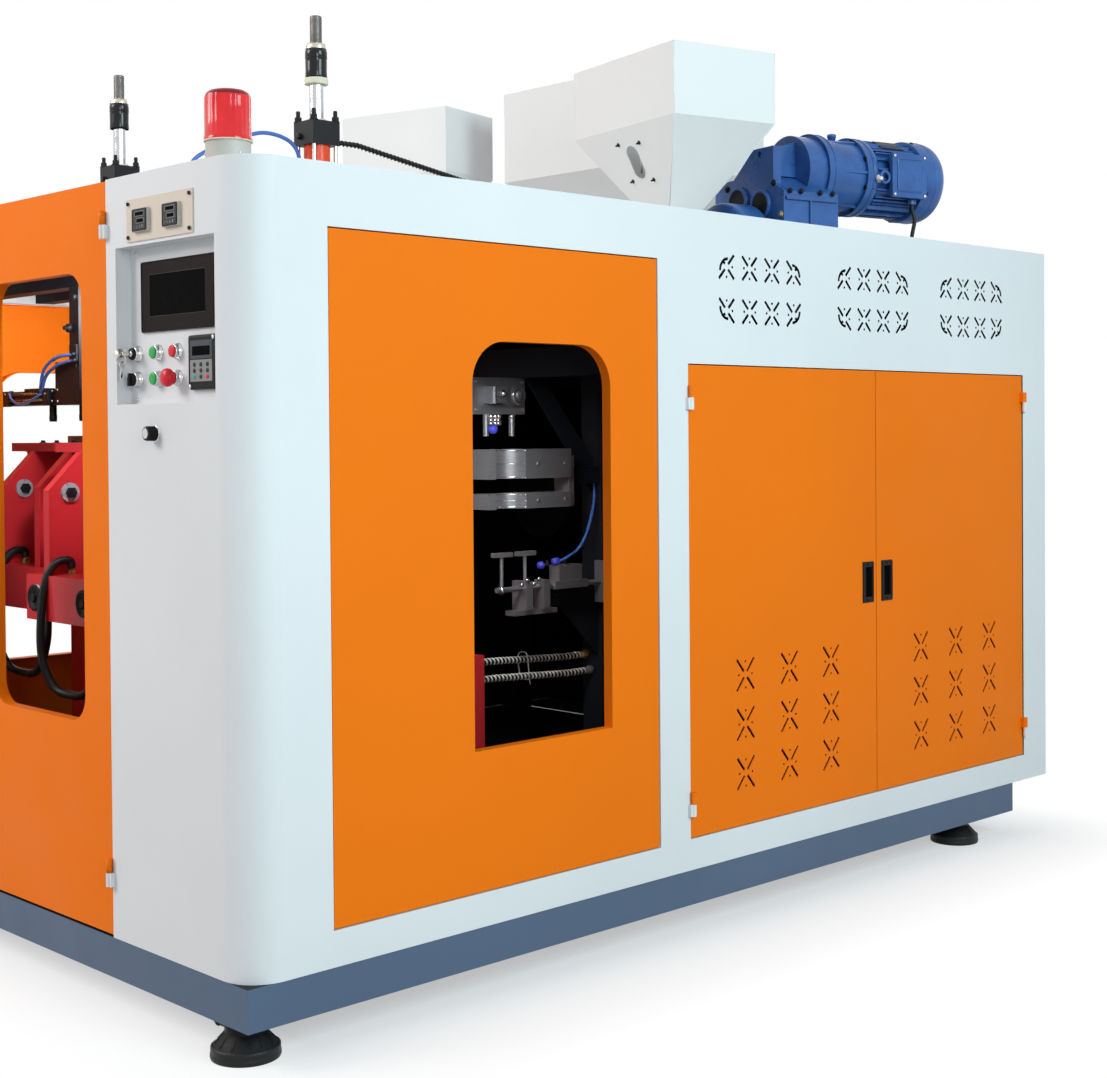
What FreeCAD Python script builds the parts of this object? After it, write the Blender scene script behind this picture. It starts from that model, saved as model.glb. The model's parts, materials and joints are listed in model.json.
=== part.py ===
# Double-station extrusion blow moulding machine, three extruders, in millimetres.
#
# The measured places are written from one corner of the machine: "along" runs rearwards from
# the front face, "across" runs leftwards from the right face and "up" starts where the white
# shell meets the base. The model's own origin is on the floor under the machine's centre:
# +X points to the rear, +Y to the operator's left-hand side of the machine and +Z up.
import FreeCAD, Part
import Sketcher

import math
import os
import re

from FreeCAD import Rotation, Vector

SIZES = {
    # body
    "body_length": 3100,
    "body_width": 2380,
    "body_height": 1700,
    "base_length": 2903,
    "base_height": 91,
    "base_inset": 4,
    "base_beam": 140,
    "foot_height": 78,
    "sheet": 3,
    "corner_radius": 90,
    "column_width": 535,
    "column_return": 97,
    "column_cap": 180,
    "top_return": 40,
    "opening_return": 30,
    # feet
    "foot_front": 56,
    "foot_rear": 2709,
    "foot_side": 96,
    "foot_pad_radius": 73,
    "foot_pad_height": 24,
    "foot_neck_radius": 44,
    "foot_bolt_radius": 9,
    "foot_bolt_length": 104,
    # frame inside the shell
    "post": 80,
    "post_front": 100,
    "post_middle": 1257,
    "post_rear": 2820,
    "extruder_beam_up": 1280,
    "cross_beam": 60,
    "cross_beam_up": 1570,
    # fixed side guard and its window
    "guard_start": 215,
    "guard_end": 1237,
    "guard_low": 78,
    "guard_high": 1565,
    "guard_window_start": 617,
    "guard_window_end": 1066,
    "guard_window_low": 403,
    "guard_window_high": 1339,
    "guard_window_radius": 100,
    "window_return": 39,
    "panel_inset": 2,
    "panel_fold": 24,
    "panel_gap": 3,
    # cabinet doors
    "cabinet_start": 1350,
    "cabinet_split": 2165.5,
    "cabinet_end": 2965,
    "cabinet_low": 80,
    "cabinet_high": 1303,
    # front doors
    "door_low": 5,
    "door_high": 1697,
    "door_window_start": 654,
    "door_window_margin": 120,
    "door_window_low": 470,
    "door_window_high": 1503,
    "door_window_radius": 62,
    # hinges
    "hinge_radius": 7,
    "hinge_out": 8,
    "hinge_length": 62,
    "hinge_pin_radius": 4,
    "hinge_clearance": 0.05,
    "hinge_leaf": 13,
    "cabinet_hinge_high": 1216,
    "cabinet_hinge_low": 171,
    "door_hinge_high": 1599,
    "door_hinge_low": 147,
    # flush handles
    "handle_width": 52,
    "handle_height": 118,
    "handle_low": 633,
    "handle_margin": 13,
    "handle_depth": 20,
    "handle_rim": 4,
    # air slots: an X of four strokes with four dots
    "door_vent_first": 1575,
    "door_vent_second": 2391,
    "door_vent_pitch": 187,
    "door_vent_up": 220,
    "door_vent_rise": 131,
    "door_vent_width": 74,
    "door_vent_height": 88,
    "shell_vent_first": 1504,
    "shell_vent_group": 512,
    "shell_vent_pitch": 94,
    "shell_vent_up": 1445,
    "shell_vent_rise": 115,
    "shell_vent_width": 64,
    "shell_vent_height": 67,
    "vent_stroke": 8,
    "vent_arc_radius": 36,
    "vent_arc_width": 8,
    "vent_dot": 4,
    # control recess and what it holds
    "recess_start": 96,
    "recess_end": 496,
    "recess_low": 1195,
    "recess_high": 1545,
    "recess_depth": 38,
    "recess_wall": 2,
    "screen_across": 296,
    "screen_width": 293,
    "screen_low": 1355,
    "screen_high": 1510,
    "screen_proud": 5,
    "display_width": 223,
    "display_low": 1389,
    "display_high": 1480,
    "screen_body_depth": 40,
    "keypad_start": 137,
    "keypad_width": 108,
    "keypad_low": 1224,
    "keypad_height": 116,
    "keypad_proud": 12,
    "switch_column_left": 465,
    "switch_column_middle": 380,
    "switch_column_right": 301,
    "switch_row_high": 1309,
    "switch_row_low": 1252,
    "collar_radius": 15.5,
    "collar_proud": 13,
    "cap_radius": 12.95,
    "cap_hole_radius": 13,
    "cap_proud": 3.5,
    "mushroom_radius": 20,
    "mushroom_height": 14,
    "mushroom_gap": 9,
    "knob_across": 337,
    "knob_up": 1132,
    "knob_radius": 15,
    "knob_proud": 22,
    "knob_shaft_radius": 4.95,
    "knob_hole_radius": 5,
    "plate_start": 174,
    "plate_end": 441,
    "plate_low": 1551,
    "plate_high": 1644,
    "controller_width": 62,
    "controller_height": 50,
    "controller_low": 1570,
    "controller_first": 219,
    "controller_second": 342,
    # beacon
    "beacon_along": 109,
    "beacon_across": 208,
    "beacon_base_radius": 48.5,
    "beacon_base_height": 57,
    "beacon_radius": 50,
    "beacon_height": 109,
    "beacon_wall": 3,
    # blow stations
    "station_along": 699,
    "station_pitch": 495,
    "cylinder_side": 84,
    "cylinder_low": 1640,
    "cylinder_foot_height": 40,
    "cylinder_head_low": 1872,
    "cylinder_head_height": 61,
    "cylinder_barrel_radius": 34,
    "cylinder_bore_radius": 28,
    "tie_rod_radius": 5,
    "tie_rod_offset": 34,
    "rod_radius": 18.5,
    "rod_clearance": 0.05,
    "rod_tip_up": 1226,
    "rod_top_up": 2134,
    "rod_thread_up": 2204,
    "rod_thread_radius": 15,
    "sleeve_radius": 27.5,
    "sleeve_low": 2046,
    "sleeve_height": 75,
    "stop_nut_height": 13,
    "stop_nut_radius": 26,
    "buffer_radius": 29.5,
    "buffer_height": 16,
    "guide_low": 1224,
    "guide_height": 44,
    "guide_bar_front": 560,
    "guide_bar_depth": 60,
    "guide_bar_inner": 45,
    "guide_bar_outer": 490,
    "guide_valve_low": 1222,
    "guide_valve_high": 1350,
    "guide_valve_length": 145,
    "guide_stub_radius": 11,
    "guide_stub_length": 50,
    # shuttle bed and carriages
    "bed_height": 200,
    "bed_beam": 60,
    "bed_front": 400,
    "bed_rear": 940,
    "bed_start": 400,
    "bed_end": 1980,
    "rail_width": 30,
    "rail_height": 28,
    "rail_clearance": 0.3,
    "runner_height": 40,
    "carriage_plate": 25,
    "carriage_front": 380,
    "carriage_rear": 1020,
    "station_width": 470,
    "pedestal_half": 75,
    "tie_bar_radius": 25,
    "tie_bar_up": 700,
    "tie_bar_offset": 130,
    "tie_bar_clearance": 0.05,
    "tie_bar_rear": 1100,
    "clamp_stroke": 120,
    "mould_depth": 99.9,
    "mould_half_width": 150,
    "mould_low": 790,
    "mould_high": 1130,
    "platen_depth": 40,
    "platen_low": 725,
    "platen_high": 1085,
    "platen_cap": 25,
    "front_cap_lip": 98,
    "rear_cap_lip": 30,
    "front_sleeve_depth": 250,
    "rear_sleeve_depth": 170,
    "sleeve_block_half": 190,
    "sleeve_block_half_height": 60,
    "front_rib_reach": 195,
    "rear_rib_reach": 120,
    "rib_shoulder": 985,
    "rib_thick": 30,
    "rib_offset": 105,
    "rib_pin_up": 978,
    "front_pin_inset": 61,
    "rear_pin_inset": 45,
    "rib_pin_radius": 15,
    "washer_radius": 26,
    "washer_height": 6,
    "bottle_radius": 62,
    "neck_radius": 20,
    # extruders and hoppers
    "barrel_up": 1640,
    "barrel_radius": 50,
    "barrel_front": 400,
    "thrust_radius": 110,
    "thrust_front": 120,
    "thrust_rear": 270,
    "case_length": 200,
    "case_low": 1480,
    "case_high": 1838,
    "case_side": 160,
    "bell_radius": 106,
    "bell_front": 390,
    "bell_rear": 625,
    "motor_aside": 30,
    "motor_up": 1888,
    "motor_radius": 100,
    "fin_height": 14,
    "fin_thickness": 5,
    "cowl_front": 820,
    "cowl_rear": 925,
    "cowl_radius": 122,
    "terminal_start": 682,
    "terminal_length": 136,
    "terminal_reach": 150,
    "terminal_low": 1821,
    "terminal_height": 130,
    "sight_slot_up": 1883,
    "sight_slot_height": 70,
    "sight_slot_width": 30,
    "hopper_sheet": 3,
    "hopper_throat": 90,
    "hopper_throat_up": 1725,
    "right_hopper_along": 1680,
    "right_hopper_across": 347,
    "right_hopper_yaw": -12.7,
    "right_hopper_length": 340,
    "right_hopper_width": 502,
    "right_hopper_rim": 2170,
    "right_hopper_wall": 141,
    "left_hopper_along": 2050,
    "left_hopper_inset": 455,
    "left_hopper_yaw": 14,
    "left_hopper_length": 290,
    "left_hopper_width": 460,
    "left_hopper_rim": 2275,
    "left_hopper_wall": 223,
    "main_hopper_along": 2387,
    "main_hopper_offset": 27,
    "main_hopper_length": 626,
    "main_hopper_width": 640,
    "main_hopper_rim": 2300,
    "main_hopper_wall": 304,
    "main_barrel_up": 1440,
    "main_barrel_radius": 75,
    "main_case_front": 2520,
    "main_case_length": 260,
    "main_case_low": 780,
    "main_motor_up": 930,
    "main_motor_length": 480,
    "main_motor_radius": 150,
    "die_radius": 110,
    "die_low": 1185,
    "die_ring_radius": 60,
    "die_ring_height": 30,
    # trimming unit behind the right-hand station
    "trim_post_along": 1600,
    "trim_post_across": 560,
    "trim_face": 520,
    "mask_start": 1130,
    "mask_end": 1440,
    "mask_depth": 80,
    "mask_upper_low": 1003,
    "mask_upper_high": 1084,
    "mask_lower_low": 921,
    "mask_lower_high": 963,
    "mask_notch_along": 1210,
    "mask_notch_radius": 55,
    "gripper_up": 700,
    "gripper_rod_radius": 7,
    "actuator_start": 1110,
    "actuator_end": 1300,
    "actuator_low": 1180,
    # hoses
    "air_hose_radius": 4,
    "spiral_hose_radius": 6.5,
    "cable_radius": 6,
    "armoured_hose_radius": 9,
    "armoured_hose_up": 450,
    "armoured_hose_rise": 45,
}

# Sizes that follow from the ones above.
LINKED = {
    "station_right": "body_width / 2 - station_pitch",
    "station_left": "body_width / 2 + station_pitch",
    "door_window_end": "body_width / 2 - door_window_margin",
    "left_hopper_across": "body_width - left_hopper_inset",
    "main_hopper_across": "body_width / 2 - main_hopper_offset",
    "wall_end": "body_width - sheet - post",
}

FUNCTIONS = {"sin", "cos", "tan", "sqrt"}

doc = FreeCAD.newDocument("blow_moulding_machine")
sheet = doc.addObject("Spreadsheet::Sheet", "sizes")
linked = {alias: "=" + text for alias, text in LINKED.items()}
for row, (alias, content) in enumerate({**SIZES, **linked}.items(), start=1):
    sheet.set(f"A{row}", alias.replace("_", " "))
    sheet.set(f"B{row}", str(content))
    sheet.setAlias(f"B{row}", alias)
doc.recompute()


# ---- places and expressions -------------------------------------------------------------

def formula(text):
    """An expression whose words are aliases of the sheet."""
    def named(match):
        word = match.group(0)
        return word if word in FUNCTIONS else "sizes." + word
    return re.sub(r"[a-z]\w*", named, str(text))


def value(text):
    return float(sheet.evalExpression(formula(text)))


def along(place):
    return f"(-body_length / 2 + ({place}))"


def across(place):
    return f"(-body_width / 2 + ({place}))"


def up(place):
    return f"(foot_height + base_height + ({place}))"


def bind(item, **sizes):
    for name, text in sizes.items():
        item.setExpression(name, formula(text))
    return item


def put(item, x, y, z):
    for axis, text in zip("xyz", (x, y, z)):
        item.setExpression(f"Placement.Base.{axis}", formula(text))
    return item


# ---- solids -----------------------------------------------------------------------------

TURNS = {
    "X": Rotation(Vector(0, 1, 0), 90),
    "-X": Rotation(Vector(0, 1, 0), -90),
    "Y": Rotation(Vector(1, 0, 0), -90),
    "-Y": Rotation(Vector(1, 0, 0), 90),
    "Z": Rotation(),
    "-Z": Rotation(Vector(1, 0, 0), 180),
}


def block(x, y, z, length, width, height):
    item = bind(doc.addObject("Part::Box", "Block"), Length=length, Width=width, Height=height)
    return put(item, x, y, z)


def rod(x, y, z, radius, length, axis="Z"):
    item = bind(doc.addObject("Part::Cylinder", "Rod"), Radius=radius, Height=length)
    item.Placement.Rotation = TURNS[axis]
    return put(item, x, y, z)


def cone(x, y, z, start_radius, end_radius, length, axis="Z"):
    item = bind(doc.addObject("Part::Cone", "Cone"),
                Radius1=start_radius, Radius2=end_radius, Height=length)
    item.Placement.Rotation = TURNS[axis]
    return put(item, x, y, z)


def prism(x, y, z, radius, length, axis="Z", sides=6):
    item = bind(doc.addObject("Part::Prism", "Prism"), Circumradius=radius, Height=length)
    item.Polygon = sides
    item.Placement.Rotation = TURNS[axis]
    return put(item, x, y, z)


def fused(*pieces):
    item = doc.addObject("Part::MultiFuse", "Fused")
    item.Shapes = list(pieces)
    item.Refine = True
    return item


def grouped(*pieces):
    item = doc.addObject("Part::Compound", "Group")
    item.Links = list(pieces)
    return item


def carved(base, *tools):
    item = doc.addObject("Part::Cut", "Carved")
    item.Base = base
    item.Tool = tools[0] if len(tools) == 1 else grouped(*tools)
    item.Refine = True
    return item


def shared(first, second):
    item = doc.addObject("Part::Common", "Shared")
    item.Base = first
    item.Tool = second
    return item


def mirrored(source):
    """The same piece on the other side of the machine."""
    item = doc.addObject("Part::Mirroring", "Mirrored")
    item.Source = source
    item.Normal = Vector(0, 1, 0)
    return item


def rounded(item, axis, radius, corners=None):
    """Rounds the edges of a block that run along one axis, at the corners chosen by a test."""
    doc.recompute()
    edges = []
    for number, edge in enumerate(item.Shape.Edges, start=1):
        start, end = edge.Vertexes[0].Point, edge.Vertexes[-1].Point
        way = (end - start).normalize()
        if abs(abs(way.dot(axis)) - 1) > 1e-6:
            continue
        if corners is None or corners(start):
            edges.append((number, value(radius), value(radius)))
    fillet = doc.addObject("Part::Fillet", "Rounded")
    fillet.Base = item
    fillet.Edges = edges
    return fillet


ALONG_X = Vector(1, 0, 0)
ALONG_Y = Vector(0, 1, 0)
ALONG_Z = Vector(0, 0, 1)


def slab(face, start, end, low, high, depth, thickness):
    """A block on the right or front face: start and end run along the face, depth goes in."""
    run, rise = f"({end}) - ({start})", f"({high}) - ({low})"
    if face == "right":
        return block(along(start), across(depth), up(low), run, thickness, rise)
    return block(along(depth), across(start), up(low), thickness, run, rise)


def face_rod(face, place, height, depth, radius, length):
    """A round bar square to the right or front face, from the given depth inwards."""
    if face == "right":
        return rod(along(place), across(depth), up(height), radius, length, "Y")
    return rod(along(depth), across(place), up(height), radius, length, "X")


def profile_body(plane, points, thickness, both_ways=False):
    """A PartDesign body: one closed sketch, every corner bound to the sheet, and a pad."""
    body = doc.addObject("PartDesign::Body", "Profile")
    sketch = outline(body, plane, points)
    pad = body.newObject("PartDesign::Pad", "Pad")
    pad.Profile = sketch
    pad.Midplane = both_ways
    bind(pad, Length=thickness)
    return body


def turned_body(points):
    """A PartDesign body turned about its own upright axis from a half section."""
    body = doc.addObject("PartDesign::Body", "Turned")
    sketch = outline(body, "XZ_Plane", points)
    turn = body.newObject("PartDesign::Revolution", "Turn")
    turn.Profile = sketch
    turn.ReferenceAxis = (sketch, ["V_Axis"])
    turn.Angle = 360
    return body


def outline(body, plane, points):
    sketch = body.newObject("Sketcher::SketchObject", "Outline")
    origin = next(part for part in body.Origin.OriginFeatures if part.Role == plane)
    sketch.AttachmentSupport = [(origin, "")]
    sketch.MapMode = "FlatFace"
    corners = [Vector(value(u), value(v), 0) for u, v in points]
    last = len(points) - 1
    for start, corner in enumerate(corners):
        end = 0 if start == last else start + 1
        sketch.addGeometry(Part.LineSegment(corner, corners[end]))
    for start in range(len(points)):
        end = 0 if start == last else start + 1
        sketch.addConstraint(Sketcher.Constraint("Coincident", start, 2, end, 1))
    for number, (u, v) in enumerate(points):
        for way, text in (("DistanceX", u), ("DistanceY", v)):
            distance = Sketcher.Constraint(way, -1, 1, number, 1, value(text))
            index = sketch.addConstraint(distance)
            sketch.setExpression(f"Constraints[{index}]", formula(text))
    return sketch


NODES = {}


def node(label, *pieces):
    """Names one sub-part; several pieces stay separate solids under one name."""
    item = pieces[0] if len(pieces) == 1 else grouped(*pieces)
    item.Label = label
    NODES[label] = item
    return item


# ---- base and feet ----------------------------------------------------------------------

def base_frame():
    low, height = "foot_height", "base_height"
    outer = block(along(0), across("base_inset"), low,
                  "base_length", "body_width - 2 * base_inset", height)
    inner = block(along("base_beam"), across("base_inset + base_beam"), low,
                  "base_length - 2 * base_beam",
                  "body_width - 2 * base_inset - 2 * base_beam", height)
    ring = carved(outer, inner)
    beams = [block(along(place), across("base_inset + base_beam"), low,
                   "base_beam", "body_width - 2 * base_inset - 2 * base_beam", height)
             for place in ("bed_front - 40", "bed_rear - 40", "post_middle", "trim_post_along - 30",
                           "main_case_front + 60")]
    floor = block(along("base_beam / 2"), across("base_inset + base_beam / 2"),
                  f"{low} + {height} - sheet", "base_length - base_beam",
                  "body_width - 2 * base_inset - base_beam", "sheet")
    return fused(ring, *beams, floor)


def levelling_feet():
    """Cast wedge mounts on rubber pads; the levelling screw sticks out at the side."""
    pads, castings = [], []
    top = "foot_height - foot_pad_height"
    for place in ("foot_front", "foot_rear"):
        for side, way in (("foot_side", "Y"), ("body_width - foot_side", "-Y")):
            x, y = along(place), across(side)
            pads.append(rod(x, y, "0", "foot_pad_radius", "foot_pad_height"))
            hood = cone(x, y, "foot_pad_height", "foot_pad_radius - 3", "foot_neck_radius",
                        f"({top}) * 0.55")
            neck = rod(x, y, "foot_pad_height", "foot_neck_radius", top)
            screw = rod(x, y, f"foot_pad_height + ({top}) * 0.48", "foot_bolt_radius",
                        "foot_bolt_length", way)
            castings.append(fused(hood, neck, screw))
    return pads, castings


# ---- frame inside the shell -------------------------------------------------------------

def inner_frame():
    inside, far = "sheet", "wall_end"
    pieces = []
    for place in ("post_front", "post_middle"):
        for side in (inside, far):
            pieces.append(block(along(place), across(side), up("sheet"), "post", "post",
                                "body_height - 2 * sheet"))
    jamb = "column_width - sheet - post"
    for side in (jamb, "body_width - column_width + sheet"):
        pieces.append(block(along("post_front"), across(side), up(0), "post", "post",
                            "body_height - sheet"))
    rear_inset = "opening_return + 20"
    for side in (rear_inset, f"body_width - ({rear_inset}) - post"):
        pieces.append(block(along("post_rear"), across(side), up(0), "post", "post",
                            "body_height - sheet"))
    beam_low = "body_height - sheet - post"
    for side in (inside, far):
        pieces.append(block(along("post_front"), across(side), up(beam_low),
                            "body_length - post_front - sheet", "post", "post"))
    pieces.append(block(along("post_front"), across(inside), up(beam_low),
                        "post", "body_width - 2 * sheet", "post"))
    pieces.append(block(along("body_length - sheet - post"), across(inside), up(beam_low),
                        "post", "body_width - 2 * sheet", "post"))
    for place in ("station_along - 80 - cross_beam", "station_along + 80"):
        pieces.append(block(along(place), across(inside), up("cross_beam_up"),
                            "cross_beam", "body_width - 2 * sheet", "cross_beam"))
        for side in (inside, far):
            pieces.append(block(along(place), across(side), up("cross_beam_up"),
                                "cross_beam", "post", f"{beam_low} - cross_beam_up"))
    plate_low = "cross_beam_up + cross_beam"
    for station in ("station_right", "station_left"):
        plate = block(along("station_along - 80 - cross_beam"), across(f"{station} - 100"),
                      up(plate_low), "160 + 2 * cross_beam", "200",
                      f"cylinder_low - ({plate_low})")
        hole = rod(along("station_along"), across(station), up(f"{plate_low} - 1"),
                   "rod_radius + 6", "40")
        pieces.append(carved(plate, hole))
    for place, side in (("post_middle", inside), ("post_rear", rear_inset)):
        pieces.append(block(along(place), across(side), up("extruder_beam_up"),
                            "post", f"body_width - 2 * ({side})", "post"))
    for side, end in (("right_hopper_across - 17", "post_rear"),
                      ("main_hopper_across - 40", "main_case_front - 3"),
                      ("left_hopper_across - 61", "post_rear")):
        pieces.append(block(along("post_middle + post"), across(side), up("extruder_beam_up"),
                            f"{end} - post_middle - post", "post", "post"))
    pieces += saddles()
    return carved(fused(*pieces), *barrel_envelopes())


def saddles():
    top = "extruder_beam_up + post"
    pieces = []
    for place in ("1560", "2050"):
        pieces.append(block(along(place), across("main_hopper_across - 40"), up(top),
                            "post", "post", f"main_barrel_up - ({top})"))
    for side in ("right", "left"):
        for place in ("-270", "20"):
            saddle = block(place, "-post / 2", up(top), "post", "post", f"barrel_up - ({top})")
            pieces.append(placed(saddle, side))
    return pieces


# ---- white shell ------------------------------------------------------------------------

def folded_edge(start, end, low, high):
    """The sheet turned inwards round an opening of the right face."""
    outer = slab("right", f"({start}) - sheet", f"({end}) + sheet",
                 f"({low}) - sheet", f"({high}) + sheet", "0", "opening_return")
    return carved(outer, slab("right", start, end, low, high, "-1", "opening_return + 2"))


def shell_sheet(with_cabinet):
    """One side wall and its front column, bent from sheet round a large corner."""
    def near_corner(point):
        return point.x < 0 and point.y < value(across("column_width / 2"))

    outside = block(along(0), across(0), up(0), "body_length", "column_width", "body_height")
    outside = rounded(outside, ALONG_Z, "corner_radius", near_corner)
    inside = block(along("sheet"), across("sheet"), up("-1"),
                   "body_length", "column_width", "body_height + 2")
    inside = rounded(inside, ALONG_Z, "corner_radius - sheet", near_corner)
    bent = carved(outside, inside)
    cap = fused(block(along(0), across(0), up("body_height - sheet"),
                      "column_cap", "column_width", "sheet"),
                block(along(0), across(0), up("body_height - sheet"),
                      "body_length", "top_return", "sheet"),
                block(along(0), across(0), up(0), "body_length", "top_return", "sheet"),
                block(along(0), across(0), up(0), "top_return", "column_width", "sheet"))
    edges = [shared(outside, cap)]
    edges.append(block(along(0), across("column_width - sheet"), up(0),
                       "column_return", "sheet", "body_height"))
    edges.append(block(along("body_length - sheet"), across(0), up(0),
                       "sheet", "top_return", "body_height"))
    edges.append(folded_edge("guard_start", "guard_end", "guard_low", "guard_high"))
    openings = [slab("right", "guard_start", "guard_end", "guard_low", "guard_high",
                     "-1", "sheet + 2")]
    if with_cabinet:
        edges.append(folded_edge("cabinet_start", "cabinet_end", "cabinet_low", "cabinet_high"))
        openings.append(slab("right", "cabinet_start", "cabinet_end",
                             "cabinet_low", "cabinet_high", "-1", "sheet + 2"))
        openings.append(slab("front", "recess_start", "recess_end",
                             "recess_low", "recess_high", "-1", "sheet + 2"))
        openings.append(face_rod("front", "knob_across", "knob_up", "-1",
                                 "knob_hole_radius", "sheet + 2"))
        openings += controller_holes()
        openings.append(vent_cutter("shell"))
    return carved(fused(bent, *edges), *openings)


def controller_holes():
    return [slab("front", f"{place} + 8", f"{place} + controller_width - 8",
                 "controller_low + 4", "controller_low + controller_height - 4",
                 "-10", "sheet + 12")
            for place in ("controller_first", "controller_second")]


def vent_cross(centre, width, height, arc_side=0, arc_rise=0):
    """An X of four strokes that stop short of the middle, and a dot in each of its corners.

    At an outer corner of a group a bold quarter ring takes the place of the stroke's end.
    """
    stroke, dot = value("vent_stroke"), value("vent_dot")
    deep = value("sheet") + 12
    half = Vector(width / 2, 0, height / 2)
    pieces = []
    for side in (-1, 1):
        for rise in (-1, 1):
            way = Vector(side * half.x, 0, rise * half.z)
            length = way.Length - 1.5 * stroke
            if (side, rise) == (arc_side, arc_rise):
                length /= 4
            piece = Part.makeBox(length, deep, stroke, Vector(1.2 * stroke, -deep / 2, -stroke / 2))
            angle = math.degrees(math.atan2(-way.z, way.x))
            piece.rotate(Vector(), Vector(0, 1, 0), angle)
            pieces.append(piece.translated(centre))
    for x, z in ((1, 0), (-1, 0), (0, 1), (0, -1)):
        if (x and x == arc_side) or (z and z == arc_rise):
            continue
        place = centre + Vector(0.72 * x * half.x, 0, 0.8 * z * half.z)
        corners = [place + Vector(dot * math.cos(turn), -deep / 2, dot * math.sin(turn))
                   for turn in (step * math.pi / 3 for step in range(7))]
        pieces.append(Part.Face(Part.makePolygon(corners)).extrude(Vector(0, deep, 0)))
    if arc_side:
        pieces.append(vent_arc(centre, arc_side, arc_rise, deep))
    return pieces


def vent_arc(centre, side, rise, deep):
    radius, width = value("vent_arc_radius"), value("vent_arc_width")
    middle = centre + Vector(-side * radius / 6, deep / 2, -rise * radius / 3.3)
    towards_face = Vector(0, -1, 0)
    ring = Part.makeCylinder(radius, deep, middle, towards_face).cut(
        Part.makeCylinder(radius - width, deep, middle, towards_face))
    corner = middle + Vector(min(side, 0) * 2 * radius, -deep, min(rise, 0) * 2 * radius)
    return ring.common(Part.makeBox(2 * radius, deep, 2 * radius, corner))


def vent_cutter(kind, first=None):
    """Every slot of the three upper groups, or of one cabinet door, as one cutting tool."""
    face = value(across(0))
    pieces = []
    if kind == "shell":
        size = value("shell_vent_width"), value("shell_vent_height")
        for group in range(3):
            for row in range(2):
                for column in range(4):
                    x = value(along(f"shell_vent_first + {group} * shell_vent_group"
                                    f" + {column} * shell_vent_pitch"))
                    z = value(up(f"shell_vent_up + {row} * shell_vent_rise"))
                    side = {0: -1, 3: 1}.get(column, 0)
                    rise = (2 * row - 1) if side else 0
                    pieces += vent_cross(Vector(x, face, z), *size, side, rise)
    else:
        size = value("door_vent_width"), value("door_vent_height")
        for row in range(3):
            for column in range(3):
                x = value(along(f"{first} + {column} * door_vent_pitch"))
                z = value(up(f"door_vent_up + {row} * door_vent_rise"))
                pieces += vent_cross(Vector(x, face, z), *size)
    cutter = doc.addObject("Part::Feature", "Vents")
    cutter.Shape = Part.makeCompound(pieces)
    return cutter


def roof_panel():
    front, cap, side = "30", "column_cap", "top_return"
    rear = "body_length - sheet"
    corners = [(front, "column_width"), (cap, "column_width"), (cap, side), (rear, side),
               (rear, f"body_width - {side}"), (cap, f"body_width - {side}"),
               (cap, "body_width - column_width"), (front, "body_width - column_width")]
    top = profile_body("XY_Plane", [(along(x), across(y)) for x, y in corners], "sheet")
    put(top, "0", "0", up("body_height - sheet"))
    lip = block(along(front), across("column_width"), up("body_height - 43"),
                "sheet", "body_width - 2 * column_width", "43")
    holes = [block(along("station_along - 60"), across(f"{station} - 60"),
                   up("body_height - sheet - 1"), "120", "120", "sheet + 2")
             for station in ("station_right", "station_left")]
    holes.append(rod(along("main_hopper_along"), across("main_hopper_across"),
                     up("body_height - sheet - 1"), "hopper_throat / 2 + 25", "sheet + 2"))
    for side_name in ("right", "left"):
        start = placed(block("-70", "-70", up("body_height - 10"), "190", "140", "20"), side_name)
        drive = placed(block("thrust_front", "-175", up("body_height - 10"),
                             "thrust_rear - thrust_front + case_length + 10",
                             "185 + case_side", "20"), side_name)
        holes += [start, drive]
    return carved(fused(top, lip), *holes)


# ---- guards and doors -------------------------------------------------------------------

def tray(face, start, end, low, high):
    """A panel pressed from sheet, its edges folded inwards."""
    outer = slab(face, start, end, low, high, "panel_inset", "panel_fold")
    inner = slab(face, f"({start}) + sheet", f"({end}) - sheet", f"({low}) + sheet",
                 f"({high}) - sheet", "panel_inset + sheet", "panel_fold")
    return carved(outer, inner)


def window(face, start, end, low, high, radius, round_bottom):
    """The rim folded in round a window, and the opening that it leaves."""
    axis = ALONG_Y if face == "right" else ALONG_X
    middle = value(up(f"(({low}) + ({high})) / 2"))

    def corners(point):
        return round_bottom or point.z > middle

    rim = slab(face, f"({start}) - sheet", f"({end}) + sheet", f"({low}) - sheet",
               f"({high}) + sheet", "panel_inset", "window_return")
    rim = rounded(rim, axis, f"{radius} + sheet", corners)
    hole = slab(face, start, end, low, high, "panel_inset - 1", "window_return + 2")
    return rim, rounded(hole, axis, radius, corners)


def side_guard():
    panel = tray("right", "guard_start + panel_gap", "guard_end - panel_gap",
                 "guard_low + panel_gap", "guard_high - panel_gap")
    rim, hole = window("right", "guard_window_start", "guard_window_end",
                       "guard_window_low", "guard_window_high", "guard_window_radius", False)
    stays = []
    for start in ("guard_start", "guard_end - panel_gap"):
        for low in ("guard_low + 150", "guard_high - 250"):
            stays.append(slab("right", start, f"({start}) + panel_gap", low, f"({low}) + 60",
                              "panel_inset + 6", "15"))
    return carved(fused(panel, rim, *stays), hole)


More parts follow.
